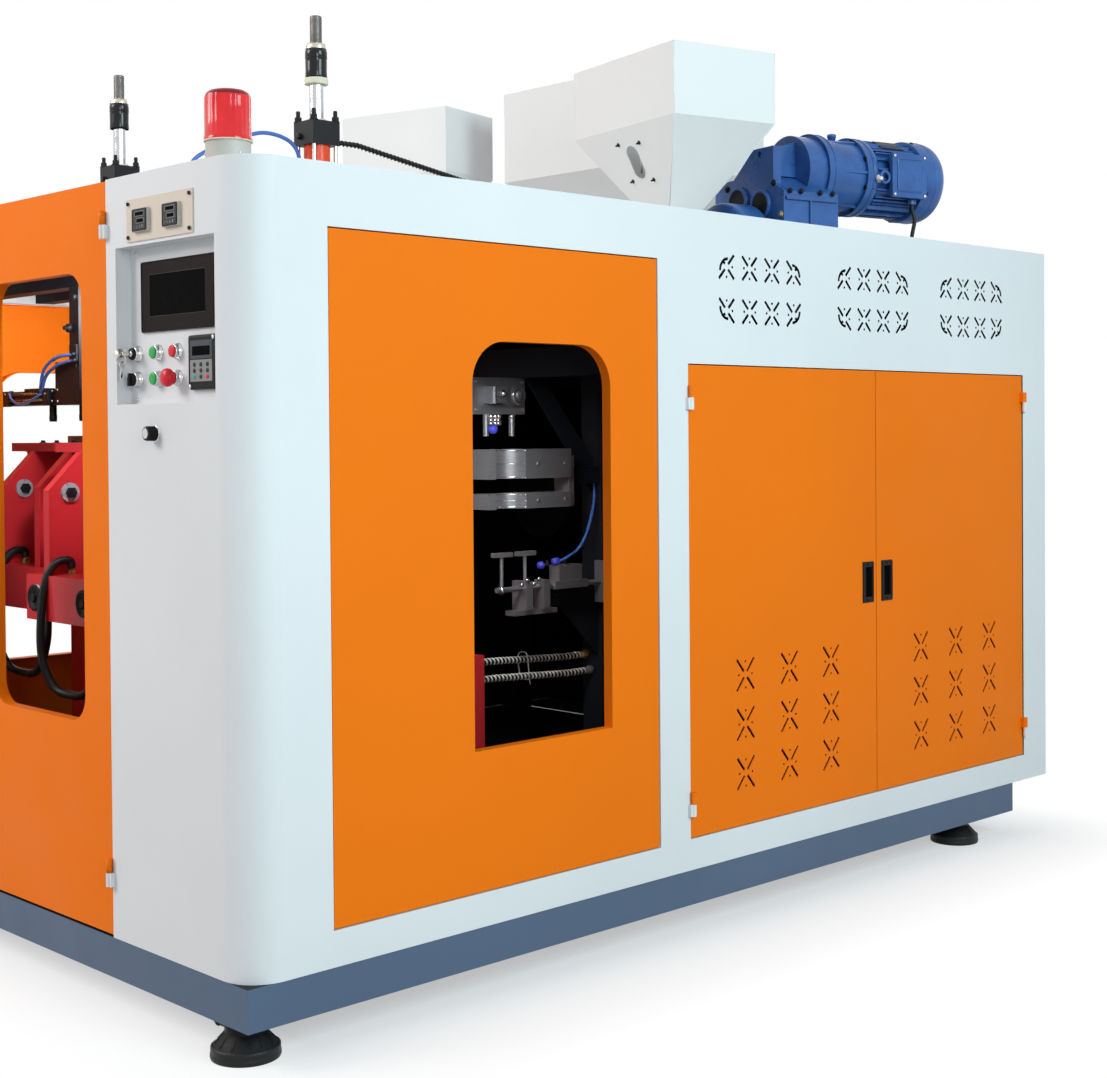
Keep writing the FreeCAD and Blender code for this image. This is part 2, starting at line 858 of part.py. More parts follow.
def hinge_halves(face, axis_place, way, heights):
    """Lift-off hinges: the door's upper knuckles, and the frame's lower ones with their pins."""
    upper, lower = [], []
    half = "hinge_length / 2"
    for height in heights:
        barrel = face_upright(face, axis_place, height, "hinge_radius", half)
        bore = face_upright(face, axis_place, f"{height} - 1",
                            "hinge_pin_radius + hinge_clearance", f"{half} - 3")
        leaf = leaf_plate(face, axis_place, way, height, "hinge_out + panel_inset")
        upper.append(carved(fused(barrel, leaf), bore))
        base = f"{height} - ({half})"
        knuckle = face_upright(face, axis_place, base, "hinge_radius", f"{half} - 0.3")
        pin = face_upright(face, axis_place, base, "hinge_pin_radius", f"hinge_length - 8")
        plate = leaf_plate(face, axis_place, -way, base, "hinge_out")
        lower.append(fused(knuckle, pin, plate))
    return upper, lower


def face_upright(face, place, height, radius, length):
    if face == "right":
        return rod(along(place), across("-hinge_out"), up(height), radius, length)
    return rod(along("-hinge_out"), across(place), up(height), radius, length)


def leaf_plate(face, axis_place, way, height, reach):
    start = axis_place if way > 0 else f"({axis_place}) - hinge_leaf"
    return slab(face, start, f"({start}) + hinge_leaf", height,
                f"({height}) + hinge_length / 2 - 0.3", "-hinge_out - 2.5",
                f"{reach} + 2.5")


def cabinet_door(start, end, way):
    """One orange cabinet door, with the hinge at its outer edge and the handle at the other."""
    axis = f"({start})" if way > 0 else f"({end})"
    panel = tray("right", start, end, "cabinet_low + panel_gap", "cabinet_high - panel_gap")
    upper, lower = hinge_halves("right", axis, way, ("cabinet_hinge_high", "cabinet_hinge_low"))
    place = handle_start(start, end, way)
    hole = slab("right", f"{place} + handle_rim", f"{place} + handle_width - handle_rim",
                "handle_low + handle_rim", "handle_low + handle_height - handle_rim",
                "panel_inset - 1", "sheet + 2")
    vents = vent_cutter("door", "door_vent_first" if way > 0 else "door_vent_second")
    return carved(fused(panel, *upper), hole, vents), lower


def handle_start(start, end, way):
    if way > 0:
        return f"({end}) - handle_margin - handle_width"
    return f"({start}) + handle_margin + 10"


def flush_handle(start, end, way):
    """A recessed pull: a thin rim on the door's face and a cup through it."""
    place = handle_start(start, end, way)
    rim = slab("right", place, f"{place} + handle_width", "handle_low",
               "handle_low + handle_height", "panel_inset - 2", "2")
    cup = slab("right", f"{place} + handle_rim", f"{place} + handle_width - handle_rim",
               "handle_low + handle_rim", "handle_low + handle_height - handle_rim",
               "panel_inset", "handle_depth")
    hollow = slab("right", f"{place} + handle_rim + 8", f"{place} + handle_width - handle_rim - 3",
                  "handle_low + 16", "handle_low + handle_height - 16",
                  "panel_inset - 3", "handle_depth + 1")
    screws = [face_rod("right", f"{place} + handle_width / 2", height, "panel_inset - 3", "3", "1")
              for height in ("handle_low + 8", "handle_low + handle_height - 8")]
    return fused(carved(fused(rim, cup), hollow), *screws)


def front_door():
    start, end = "column_width + panel_gap", "body_width / 2 - panel_gap / 2"
    panel = tray("front", start, end, "door_low", "door_high")
    rim, hole = window("front", "door_window_start", "door_window_end",
                       "door_window_low", "door_window_high", "door_window_radius", True)
    upper, lower = hinge_halves("front", start, 1, ("door_hinge_high", "door_hinge_low"))
    return carved(fused(panel, rim, *upper), hole), lower


# ---- controls ---------------------------------------------------------------------------

SWITCHES = {
    "key_switch": ("switch_column_left", "switch_row_high"),
    "selector_switch": ("switch_column_left", "switch_row_low"),
    "green_button_upper": ("switch_column_middle", "switch_row_high"),
    "green_button_lower": ("switch_column_middle", "switch_row_low"),
    "red_button": ("switch_column_right", "switch_row_high"),
    "emergency_stop": ("switch_column_right", "switch_row_low"),
}


def control_panel():
    wall = "recess_wall"
    pan = slab("front", "recess_start", "recess_end", "recess_low", "recess_high",
               "0", f"recess_depth + {wall}")
    hollow = slab("front", f"recess_start + {wall}", f"recess_end - {wall}",
                  f"recess_low + {wall}", f"recess_high - {wall}", "-1", "recess_depth + 1")
    body = slab("front", "screen_across - screen_width / 2 + 15",
                "screen_across + screen_width / 2 - 15", "screen_low + 12", "screen_high - 12",
                "recess_depth - 1", f"{wall} + 2")
    holes = [face_rod("front", place, height, "recess_depth - 1", "cap_hole_radius", f"{wall} + 2")
             for place, height in SWITCHES.values()]
    return carved(pan, hollow, body, *holes)


def collar(place, height):
    ring = face_rod("front", place, height, "recess_depth - collar_proud",
                    "collar_radius", "collar_proud")
    bore = face_rod("front", place, height, "recess_depth - collar_proud - 1",
                    "cap_hole_radius", "collar_proud + 2")
    return carved(ring, bore)


def contact_block(place, height):
    back = "recess_depth + recess_wall"
    body = slab("front", f"{place} - 17", f"{place} + 17", f"{height} - 20", f"{height} + 20",
                back, "36")
    pocket = face_rod("front", place, height, f"{back} - 1", "cap_hole_radius + 1", "13")
    return carved(body, pocket)


def cap_stem(name, proud):
    """The part of a switch that turns or travels in its collar."""
    place, height = SWITCHES[name]
    front = f"recess_depth - collar_proud - ({proud})"
    return face_rod("front", place, height, front, "cap_radius",
                    f"collar_proud + ({proud}) + recess_wall + 4")


def emergency_stop():
    place, height = SWITCHES["emergency_stop"]
    front = "recess_depth - collar_proud - mushroom_gap - mushroom_height"
    rim = face_rod("front", place, height, f"{front} + 5", "mushroom_radius", "mushroom_height - 5")
    crown = cone(along(front), across(place), up(height), "mushroom_radius - 5",
                 "mushroom_radius", "5", "X")
    return fused(rim, crown, cap_stem("emergency_stop", "mushroom_gap"))


def selector_switch():
    place, height = SWITCHES["selector_switch"]
    front = "recess_depth - collar_proud - 14"
    lever = slab("front", f"{place} - 4", f"{place} + 4", f"{height} - 14", f"{height} + 14",
                 front, "12")
    return fused(lever, cap_stem("selector_switch", "3"))


def key_switch():
    place, height = SWITCHES["key_switch"]
    front = "recess_depth - collar_proud - 22"
    blade = slab("front", f"{place} - 1.2", f"{place} + 1.2", f"{height} - 4", f"{height} + 4",
                 front, "21")
    bow = slab("front", f"{place} - 1.2", f"{place} + 1.2", f"{height} - 11", f"{height} + 11",
               f"{front} - 14", "16")
    return fused(bow, blade, cap_stem("key_switch", "2"))


def operator_screen():
    start = "screen_across - screen_width / 2"
    end = "screen_across + screen_width / 2"
    front = "recess_depth - screen_proud"
    bezel = slab("front", start, end, "screen_low", "screen_high", front, "screen_proud")
    body = slab("front", f"{start} + 15", f"{end} - 15", "screen_low + 12", "screen_high - 12",
                "recess_depth", "screen_body_depth")
    glass_start = "screen_across - display_width / 2"
    glass_end = "screen_across + display_width / 2"
    pocket = slab("front", glass_start, glass_end, "display_low", "display_high", front, "2")
    glass = slab("front", glass_start, glass_end, "display_low", "display_high",
                 f"{front} + 0.6", "1.4")
    return carved(fused(bezel, body), pocket), glass


def inverter_keypad():
    front = "recess_depth - keypad_proud"
    start, low = "keypad_start", "keypad_low"
    case = slab("front", start, f"{start} + keypad_width", low, f"{low} + keypad_height",
                front, "keypad_proud")
    case = rounded(case, ALONG_X, "6")
    display = slab("front", f"{start} + 18", f"{start} + keypad_width - 18",
                   f"{low} + keypad_height * 0.62", f"{low} + keypad_height - 14",
                   f"{front} - 1", "2.5")
    keys = []
    for row in range(2):
        for column in range(3):
            keys.append(slab("front", f"{start} + 20 + {column} * 24",
                             f"{start} + 37 + {column} * 24", f"{low} + 18 + {row} * 24",
                             f"{low} + 32 + {row} * 24", f"{front} - 2", "2"))
    return fused(carved(case, display), *keys)


def controller_plate():
    plate = slab("front", "plate_start", "plate_end", "plate_low", "plate_high", "-3", "3")
    screws = []
    for place in ("plate_start + 10", "plate_end - 10"):
        for height in ("plate_low + 10", "plate_high - 10"):
            screws.append(face_rod("front", place, height, "-5", "4", "2"))
    return fused(carved(plate, *controller_holes()), *screws)


def temperature_controller(place):
    bezel = slab("front", place, f"{place} + controller_width", "controller_low",
                 "controller_low + controller_height", "-11", "8")
    window_pocket = slab("front", f"{place} + 9", f"{place} + controller_width - 9",
                         "controller_low + 22", "controller_low + controller_height - 7",
                         "-12", "2")
    keys = [slab("front", f"{place} + {12 + 11 * number}", f"{place} + {19 + 11 * number}",
                 "controller_low + 7", "controller_low + 13", "-12", "1")
            for number in range(4)]
    body = slab("front", f"{place} + 8", f"{place} + controller_width - 8",
                "controller_low + 4", "controller_low + controller_height - 4", "-3", "60")
    return fused(carved(bezel, window_pocket), body, *keys)


def speed_knob():
    knob = face_rod("front", "knob_across", "knob_up", "-knob_proud", "knob_radius",
                    "knob_proud - 1")
    cap = face_rod("front", "knob_across", "knob_up", "-knob_proud - 2", "knob_radius - 4", "2")
    shaft = face_rod("front", "knob_across", "knob_up", "-1", "knob_shaft_radius", "sheet + 8")
    mark = slab("front", "knob_across - 1.5", "knob_across + 1.5", "knob_up + 4",
                "knob_up + knob_radius - 1", "-knob_proud - 1", "1")
    return fused(knob, cap, shaft, mark)


# ---- beacon -----------------------------------------------------------------------------

def beacon():
    x, y, foot = along("beacon_along"), across("beacon_across"), up("body_height")
    base = fused(rod(x, y, foot, "beacon_base_radius", "beacon_base_height"),
                 rod(x, y, foot, "beacon_base_radius + 3", "7"))
    r, wall, tall = "beacon_radius", "beacon_wall", "beacon_height"
    dome = turned_body([("0", tall), (f"{r} - 22", tall), (f"{r} - 7", f"{tall} - 4"),
                        (r, f"{tall} - 16"), (r, "9"), (f"{r} + 2", "9"), (f"{r} + 2", "0"),
                        (f"{r} - {wall}", "0"), (f"{r} - {wall}", f"{tall} - 18"),
                        (f"{r} - 9", f"{tall} - 8"), ("0", f"{tall} - {wall} - 3")])
    put(dome, x, y, f"{foot} + beacon_base_height")
    lamp = fused(rod(x, y, f"{foot} + beacon_base_height", "9", "30"),
                 cone(x, y, f"{foot} + beacon_base_height + 30", "16", "12", "34"))
    return base, dome, lamp


# ---- blow cylinders ---------------------------------------------------------------------

def cylinder_ends(station):
    """The square foot and head, the four tie rods and their nuts."""
    x, y = along("station_along"), across(station)
    corner_x, corner_y = along("station_along - cylinder_side / 2"), across(f"{station} - cylinder_side / 2")
    foot = block(corner_x, corner_y, up("cylinder_low"), "cylinder_side", "cylinder_side",
                 "cylinder_foot_height")
    head = block(corner_x, corner_y, up("cylinder_head_low"), "cylinder_side", "cylinder_side",
                 "cylinder_head_height")
    bore = rod(x, y, up("cylinder_low - 1"), "rod_radius + rod_clearance", "400")
    ties = []
    length = "cylinder_head_low + cylinder_head_height - cylinder_low"
    for side in (-1, 1):
        for rise in (-1, 1):
            tx = along(f"station_along + {side} * tie_rod_offset")
            ty = across(f"{station} + {rise} * tie_rod_offset")
            tie = rod(tx, ty, up("cylinder_low + 5"), "tie_rod_radius", f"{length} + 5")
            nut = prism(tx, ty, up("cylinder_head_low + cylinder_head_height"), "9", "7")
            ties += [tie, nut]
    return carved(fused(foot, head, *ties), bore)


def cylinder_barrel(station):
    x, y = along("station_along"), across(station)
    low = "cylinder_low + cylinder_foot_height"
    tube = rod(x, y, up(low), "cylinder_barrel_radius", f"cylinder_head_low - ({low})")
    bore = rod(x, y, up(f"{low} - 1"), "cylinder_bore_radius", f"cylinder_head_low - ({low}) + 2")
    return carved(tube, bore)


def blow_rod(station, with_buffer):
    """The rod with its blow pin and thread, the piston, the stop sleeve, its nut, the buffer."""
    x, y = along("station_along"), across(station)
    shaft = rod(x, y, up("rod_tip_up + 60"), "rod_radius", "rod_top_up - rod_tip_up - 60")
    thread = rod(x, y, up("rod_top_up"), "rod_thread_radius", "rod_thread_up - rod_top_up")
    taper = cone(x, y, up("rod_tip_up + 40"), "rod_radius - 6", "rod_radius", "20")
    pin = rod(x, y, up("rod_tip_up"), "rod_radius - 6", "40")
    pieces = [fused(shaft, thread, taper, pin)]
    pieces.append(ring_on_rod(x, y, "cylinder_head_low - 60", "cylinder_bore_radius - 0.05", "30"))
    pieces.append(ring_on_rod(x, y, "sleeve_low", "sleeve_radius", "sleeve_height"))
    nut = prism(x, y, up("sleeve_low + sleeve_height"), "stop_nut_radius", "stop_nut_height")
    pieces.append(carved(nut, rod(x, y, up("sleeve_low + sleeve_height - 1"), "rod_radius",
                                  "stop_nut_height + 2")))
    if with_buffer:
        pieces.append(ring_on_rod(x, y, "sleeve_low - buffer_height", "buffer_radius",
                                  "buffer_height"))
    return pieces


def ring_on_rod(x, y, low, radius, height):
    return carved(rod(x, y, up(low), radius, height),
                  rod(x, y, up(f"{low} - 1"), "rod_radius", f"{height} + 2"))


def pin_guide(station, way):
    """A bar that runs outwards under the cross beam, its valve block, its bracket, an arm
    that guides the blow rod, and two hose stubs."""
    low, front = "guide_low", "guide_bar_front"

    def span(near, far):
        start = f"{station} + ({near})" if way > 0 else f"{station} - ({far})"
        return across(start), f"({far}) - ({near})"

    y, run = span("-guide_bar_inner", "guide_bar_outer")
    bar = block(along(front), y, up(low), "guide_bar_depth", run, "guide_height")
    y, run = span("-5", "guide_valve_length - 5")
    valve = block(along(f"{front} - 5"), y, up("guide_valve_low"), "guide_bar_depth + 10", run,
                  "guide_valve_high - guide_valve_low")
    y, run = span("5", "60")
    bracket = block(along(front), y, up("guide_valve_high"), "guide_bar_depth", run,
                    "cross_beam_up - guide_valve_high")
    arm = block(along(f"{front} + guide_bar_depth"), across(f"{station} - 45"), up(low),
                "station_along - guide_bar_front - guide_bar_depth + 45", "90", "guide_height")
    stubs = []
    for reach in ("39", "222"):
        y = across(f"{station} + {way} * {reach}")
        stubs.append(rod(along(f"{front} + guide_bar_depth / 2"), y,
                         up(f"{low} - guide_stub_length"), "guide_stub_radius",
                         "guide_stub_length + 2"))
    bore = rod(along("station_along"), across(station), up(f"{low} - 1"),
               "rod_radius + rod_clearance", "guide_height + 2")
    return carved(fused(bar, valve, arm, bracket, *stubs), bore)


# ---- shuttle bed, carriages, platens and moulds -------------------------------------------

def shuttle_bed():
    """Two long beams that carry the rails, tied together, and the hose upright behind them."""
    pieces = []
    for place in ("bed_front", "bed_rear"):
        pieces.append(block(along(place), across("bed_start"), up(0), "bed_beam",
                            "bed_end - bed_start", "bed_height"))
    for side in ("bed_start + 100", "body_width / 2 - 30", "bed_end - 160"):
        pieces.append(block(along("bed_front + bed_beam"), across(side), up(0),
                            "bed_rear - bed_front - bed_beam", "bed_beam", "bed_height - 60"))
    pieces.append(block(along("bed_rear + bed_beam"), across("bed_start + 160"), up(0),
                        "142", "200", "30"))
    pieces.append(block(along("bed_rear + bed_beam + 110"), across("bed_start + 160"), up(0),
                        "32", "200", "525"))
    return fused(*pieces)


def shuttle_rails():
    rails = []
    for place in ("bed_front", "bed_rear"):
        rails.append(block(along(f"{place} + (bed_beam - rail_width) / 2"), across("bed_start"),
                           up("bed_height"), "rail_width", "bed_end - bed_start", "rail_height"))
    return rails


def carriage(station):
    """Base plate, four rail runners and the pedestal that the tie bars slide in."""
    low = "bed_height + runner_height"
    plate = block(along("carriage_front"), across(f"{station} - station_width / 2"), up(low),
                  "carriage_rear - carriage_front", "station_width", "carriage_plate")
    pieces, grooves = [plate], []
    for place in ("bed_front", "bed_rear"):
        for side in (-150, 150):
            pieces.append(block(along(f"{place} - 10"), across(f"{station} + {side} - 45"),
                                up("bed_height + 8"), "bed_beam + 20", "90",
                                "runner_height - 8"))
        grooves.append(block(along(f"{place} + (bed_beam - rail_width) / 2 - rail_clearance"),
                             across(f"{station} - station_width / 2 - 1"), up("bed_height"),
                             "rail_width + 2 * rail_clearance", "station_width + 2",
                             "rail_height + rail_clearance"))
    top = f"{low} + carriage_plate"
    pedestal = block(along("station_along - pedestal_half"),
                     across(f"{station} - sleeve_block_half"), up(top),
                     "2 * pedestal_half", "2 * sleeve_block_half",
                     f"tie_bar_up + sleeve_block_half_height - ({top})")
    relief = block(along("station_along - pedestal_half - 1"), across(f"{station} - 90"),
                   up(f"{top} + 60"), "2 * pedestal_half + 2", "180", "200")
    bores = [rod(along("station_along - pedestal_half - 1"),
                 across(f"{station} + {side} * tie_bar_offset"), up("tie_bar_up"),
                 "tie_bar_radius + tie_bar_clearance", "2 * pedestal_half + 2", "X")
             for side in (-1, 1)]
    return carved(fused(*pieces, pedestal), *grooves, relief, *bores)


def towards(way, near, far):
    """The lower end and the length of a run measured from the parting plane, front or rear."""
    start = f"station_along - ({far})" if way < 0 else f"station_along + ({near})"
    return along(start), f"({far}) - ({near})"


def platen(station, way, opened):
    """A welded platen: face plate, cap plate, bearing block and two sloped ribs with their pins."""
    end = "front" if way < 0 else "rear"
    shift = f"{opened} * clamp_stroke"
    face = f"mould_depth + 0.1 + {shift}"
    back = f"{face} + platen_depth"
    outer = f"{back} + {end}_rib_reach"
    pin = f"{outer} - {end}_pin_inset"
    depth = f"{end}_sleeve_depth"
    left = across(f"{station} - station_width / 2")
    x, run = towards(way, face, back)
    plate = block(x, left, up("tie_bar_up - sleeve_block_half_height"), run, "station_width",
                  "platen_high - tie_bar_up + sleeve_block_half_height")
    x, run = towards(way, face, f"{back} + {end}_cap_lip")
    cap = block(x, left, up("platen_high"), run, "station_width", "platen_cap")
    x, run = towards(way, face, f"{face} + {depth}")
    sleeve = block(x, across(f"{station} - sleeve_block_half"),
                   up("tie_bar_up - sleeve_block_half_height"), run, "2 * sleeve_block_half",
                   "2 * sleeve_block_half_height")
    ribs, pins = [], []
    for side in (-1, 1):
        centre = f"{station} + {side} * rib_offset"
        ribs.append(rib(centre, way, back, outer, f"{end}_cap_lip"))
        pins += rib_pin(centre, way, pin)
    bores = []
    if way > 0:
        x, run = towards(way, f"{face} - 1", f"{face} + {depth} + 1")
        bores = [rod(x, across(f"{station} + {side} * tie_bar_offset"), up("tie_bar_up"),
                     "tie_bar_radius + tie_bar_clearance", run, "X")
                 for side in (-1, 1)]
    weldment = fused(plate, cap, sleeve, *ribs)
    seats = [rod(pin_x(way, pin),
                 across(f"{station} + {side} * rib_offset - rib_thick / 2 - 1"), up("rib_pin_up"),
                 "rib_pin_radius", "rib_thick + 2", "Y")
             for side in (-1, 1)]
    pieces = [carved(weldment, *seats, *bores)] + pins
    if way < 0:
        pieces = tie_bars(station, face) + [carved(pieces[0], *tie_bar_seats(station, face))] + pins
    return pieces


def pin_x(way, reach):
    return along(f"station_along + {way} * ({reach})")


def rib(centre, way, back, outer, lip):
    low = "tie_bar_up + sleeve_block_half_height"
    points = [(f"{way} * ({back})", low), (f"{way} * ({outer})", low),
              (f"{way} * ({outer})", "rib_shoulder"),
              (f"{way} * ({back} + {lip})", "platen_high"), (f"{way} * ({back})", "platen_high")]
    plate = profile_body("XZ_Plane", points, "rib_thick", both_ways=True)
    return put(plate, along("station_along"), across(centre), up(0))


def rib_pin(centre, way, reach):
    """The pin through one rib, its washers and hexagon heads on both sides."""
    x, z = pin_x(way, reach), up("rib_pin_up")
    half = "rib_thick / 2"
    pin = rod(x, across(f"{centre} - ({half})"), z, "rib_pin_radius", "rib_thick", "Y")
    ends = []
    for axis, start in (("-Y", f"{centre} - ({half})"), ("Y", f"{centre} + ({half})")):
        washer = rod(x, across(start), z, "washer_radius", "washer_height", axis)
        sign = -1 if axis == "-Y" else 1
        head = prism(x, across(f"{start} + {sign} * washer_height"), z, "washer_radius / 2 + 2",
                     "10", axis)
        ends += [washer, head]
    return [fused(pin, *ends)]


def tie_bar_seats(station, face):
    x, run = towards(-1, f"{face} - 1", f"{face} + front_sleeve_depth + 1")
    return [rod(x, across(f"{station} + {side} * tie_bar_offset"), up("tie_bar_up"),
                "tie_bar_radius", run, "X")
            for side in (-1, 1)]


def tie_bars(station, face):
    """Two bars fixed in the front platen, each with an end washer, that run to the rear one."""
    start = f"station_along - ({face}) - front_sleeve_depth"
    bars = []
    for side in (-1, 1):
        y = across(f"{station} + {side} * tie_bar_offset")
        bar = rod(along(start), y, up("tie_bar_up"), "tie_bar_radius",
                  "tie_bar_rear - station_along + mould_depth + front_sleeve_depth", "X")
        washer = rod(along(start), y, up("tie_bar_up"), "tie_bar_radius + 10", "8", "-X")
        bars.append(fused(bar, washer))
    return bars


def mould_half(station, way, opened):
    """One mould block with half of the bottle: body, shoulder and neck turned out of it."""
    shift = f"{opened} * clamp_stroke"
    x, run = towards(way, f"0.1 + {shift}", f"mould_depth + 0.1 + {shift}")
    solid = block(x, across(f"{station} - mould_half_width"), up("mould_low"), run,
                  "2 * mould_half_width", "mould_high - mould_low")
    low, high = "mould_low + 45", "mould_high"
    bottle = turned_body([("0", low), ("bottle_radius - 8", low), ("bottle_radius", f"{low} + 10"),
                          ("bottle_radius", f"{high} - 95"), ("neck_radius", f"{high} - 50"),
                          ("neck_radius", f"{high} + 1"), ("0", f"{high} + 1")])
    put(bottle, along(f"station_along + {way} * ({shift})"), across(station), up(0))
    return carved(solid, bottle)


# ---- extruders --------------------------------------------------------------------------

def placed(item, side):
    """Sets a piece of a side extruder, modelled along X from its hopper's axis, in place."""
    holder = grouped(item)
    holder.Placement.Rotation = Rotation(Vector(0, 0, 1), value(f"{side}_hopper_yaw"))
    return put(holder, along(f"{side}_hopper_along"), across(f"{side}_hopper_across"), "0")


def frustum(half_length, half_width, throat_half, low, high):
    item = doc.addObject("Part::Wedge", "Frustum")
    bind(item, Xmin=f"-({throat_half})", Xmax=throat_half, Zmin=f"-({throat_half})",
         Zmax=throat_half, Ymin="0", Ymax=f"({high}) - ({low})",
         X2min=f"-({half_length})", X2max=half_length,
         Z2min=f"-({half_width})", Z2max=half_width)
    item.Placement.Rotation = TURNS["-Y"]
    return put(item, "0", "0", up(low))


def hopper(prefix):
    """An open sheet-metal hopper: upright walls above, tapering to a square throat."""
    half_length, half_width = f"{prefix}_hopper_length / 2", f"{prefix}_hopper_width / 2"
    rim, wall = f"{prefix}_hopper_rim", f"{prefix}_hopper_wall"
    low, throat = "hopper_throat_up", "hopper_throat / 2"
    outer = fused(
        block(f"-({half_length})", f"-({half_width})", up(f"{rim} - {wall}"),
              f"{prefix}_hopper_length", f"{prefix}_hopper_width", wall),
        frustum(half_length, half_width, throat, low, f"{rim} - {wall}"))
    thin = "hopper_sheet"
    inner = fused(
        block(f"-({half_length}) + {thin}", f"-({half_width}) + {thin}", up(f"{rim} - {wall}"),
              f"{prefix}_hopper_length - 2 * {thin}", f"{prefix}_hopper_width - 2 * {thin}",
              f"{wall} + 1"),
        frustum(f"{half_length} - {thin}", f"{half_width} - {thin}", f"{throat} - {thin}",
                low, f"{rim} - {wall}"))
    return carved(outer, inner)


def sight_slot():
    """The oblong slot through the front slope of the right-hand hopper."""
    low, half = "sight_slot_up - sight_slot_height / 2", "sight_slot_width / 2"
    reach = "right_hopper_length / 2"
    slot = block(f"-({reach})", f"-({half})", up(low), f"{reach} - 20", "sight_slot_width",
                 "sight_slot_height")
    ends = [rod(f"-({reach})", "0", up(end), half, f"{reach} - 20", "X")
            for end in (low, f"{low} + sight_slot_height")]
    return fused(slot, *ends)


def feed_throat(top_of_barrel):
    """The square flange and neck that the hopper stands on."""
    flange = block("-hopper_throat / 2 - 15", "-hopper_throat / 2 - 15",
                   up("hopper_throat_up - 12"), "hopper_throat + 30", "hopper_throat + 30", "12")
    neck = block("-hopper_throat / 2", "-hopper_throat / 2", up(top_of_barrel),
                 "hopper_throat", "hopper_throat", f"hopper_throat_up - 12 - ({top_of_barrel})")
    way = block("-hopper_throat / 2 + 10", "-hopper_throat / 2 + 10", up(top_of_barrel),
                "hopper_throat - 20", "hopper_throat - 20", "600")
    return fused(flange, neck), way


def side_barrel():
    tube = rod("-barrel_front", "0", up("barrel_up"), "barrel_radius",
               "barrel_front + thrust_front", "X")
    housing = rod("thrust_front", "0", up("barrel_up"), "thrust_radius",
                  "thrust_rear - thrust_front", "X")
    nose = cone("-barrel_front", "0", up("barrel_up"), "barrel_radius", "25", "60", "-X")
    throat, way = feed_throat("barrel_up")
    return carved(fused(tube, housing, nose, throat), way)


def barrel_envelopes():
    tools = [rod(along("station_along + 60"), across("main_hopper_across"), up("main_barrel_up"),
                 "main_barrel_radius", "main_case_front - station_along - 60", "X")]
    for side in ("right", "left"):
        tube = rod("-barrel_front", "0", up("barrel_up"), "barrel_radius",
                   "barrel_front + thrust_front", "X")
        tools.append(placed(tube, side))
    return tools


def melt_pipe(side):
    """The heated pipe from a side extruder's nose to the die head."""
    yaw = math.radians(value(f"{side}_hopper_yaw"))
    reach = value("barrel_front + 55")
    nose = Vector(value(along(f"{side}_hopper_along")) - reach * math.cos(yaw),
                  value(across(f"{side}_hopper_across")) - reach * math.sin(yaw),
                  value(up("barrel_up")))
    head = Vector(value(along("station_along")), value(across("main_hopper_across")),
                  value(up("main_barrel_up")))
    pipe = doc.addObject("Part::Feature", "MeltPipe")
    pipe.Shape = Part.makeCylinder(28, (head - nose).Length, nose, head - nose)
    return pipe


def extruder_barrels(die):
    main = rod(along("station_along"), across("main_hopper_across"), up("main_barrel_up"),
               "main_barrel_radius", "main_case_front - station_along", "X")
    throat, way = feed_throat("main_barrel_up")
    parts = grouped(throat)
    put(parts, along("main_hopper_along"), across("main_hopper_across"), "0")
    gap = grouped(way)
    put(gap, along("main_hopper_along"), across("main_hopper_across"), "0")
    side_pieces = [placed(side_barrel(), side) for side in ("right", "left")]
    main_piece = carved(fused(main, parts), gap, die)
    pipes = [carved(melt_pipe(side), die, main_piece, *side_pieces) for side in ("right", "left")]
    return [main_piece, *side_pieces, *pipes]


def die_head():
    x, y = along("station_along"), across("main_hopper_across")
    body = rod(x, y, up("die_low + die_ring_height"), "die_radius",
               "cross_beam_up - 25 - die_low - die_ring_height")
    ring = rod(x, y, up("die_low"), "die_ring_radius", "die_ring_height")
    hanger = block(along("station_along - 80 - cross_beam"), across("main_hopper_across - 140"),
                   up("cross_beam_up - 25"), "160 + 2 * cross_beam", "280", "25")
    slot = rod(x, y, up("die_low - 1"), "20", "120")
    return carved(fused(body, ring, hanger), slot)


def gearbox():
    """Parallel-shaft gear case: stepped front profile, lifting lug, covers and motor bell."""
    low = "case_low"
    high = "case_high"
    profile = [("-163", low), ("case_side", low), ("case_side", high), ("100", f"{high} + 30"),
               ("-60", f"{high} + 30"), ("-163", f"{high} - 26")]
    case = profile_body("YZ_Plane", profile, "case_length")
    put(case, "thrust_rear", "0", up(0))
    lug = profile_body("YZ_Plane", [("70", f"{high} + 30"), ("-24", f"{high} + 107"),
                                    ("-116", f"{high} + 107"), ("-116", f"{high} - 10")], "28")
    put(lug, "thrust_rear", "0", up(0))
    axis = "-motor_aside"
    bell = rod("bell_front", axis, up("motor_up"), "bell_radius", "bell_rear - bell_front", "X")
    flanges = [rod(place, axis, up("motor_up"), "bell_radius + 9", "20", "X")
               for place in ("bell_front + 70", "bell_rear - 20")]
    covers = [rod("thrust_rear", y, up(z), "43", "9", "-X")
              for y, z in (("43", f"{high} - 38"), ("-64", f"{high} - 58"))]
    eye = rod("thrust_rear - 1", "-53", up(f"{high} + 90"), "9", "30", "X")
    return carved(fused(case, lug, bell, *flanges, *covers), eye)


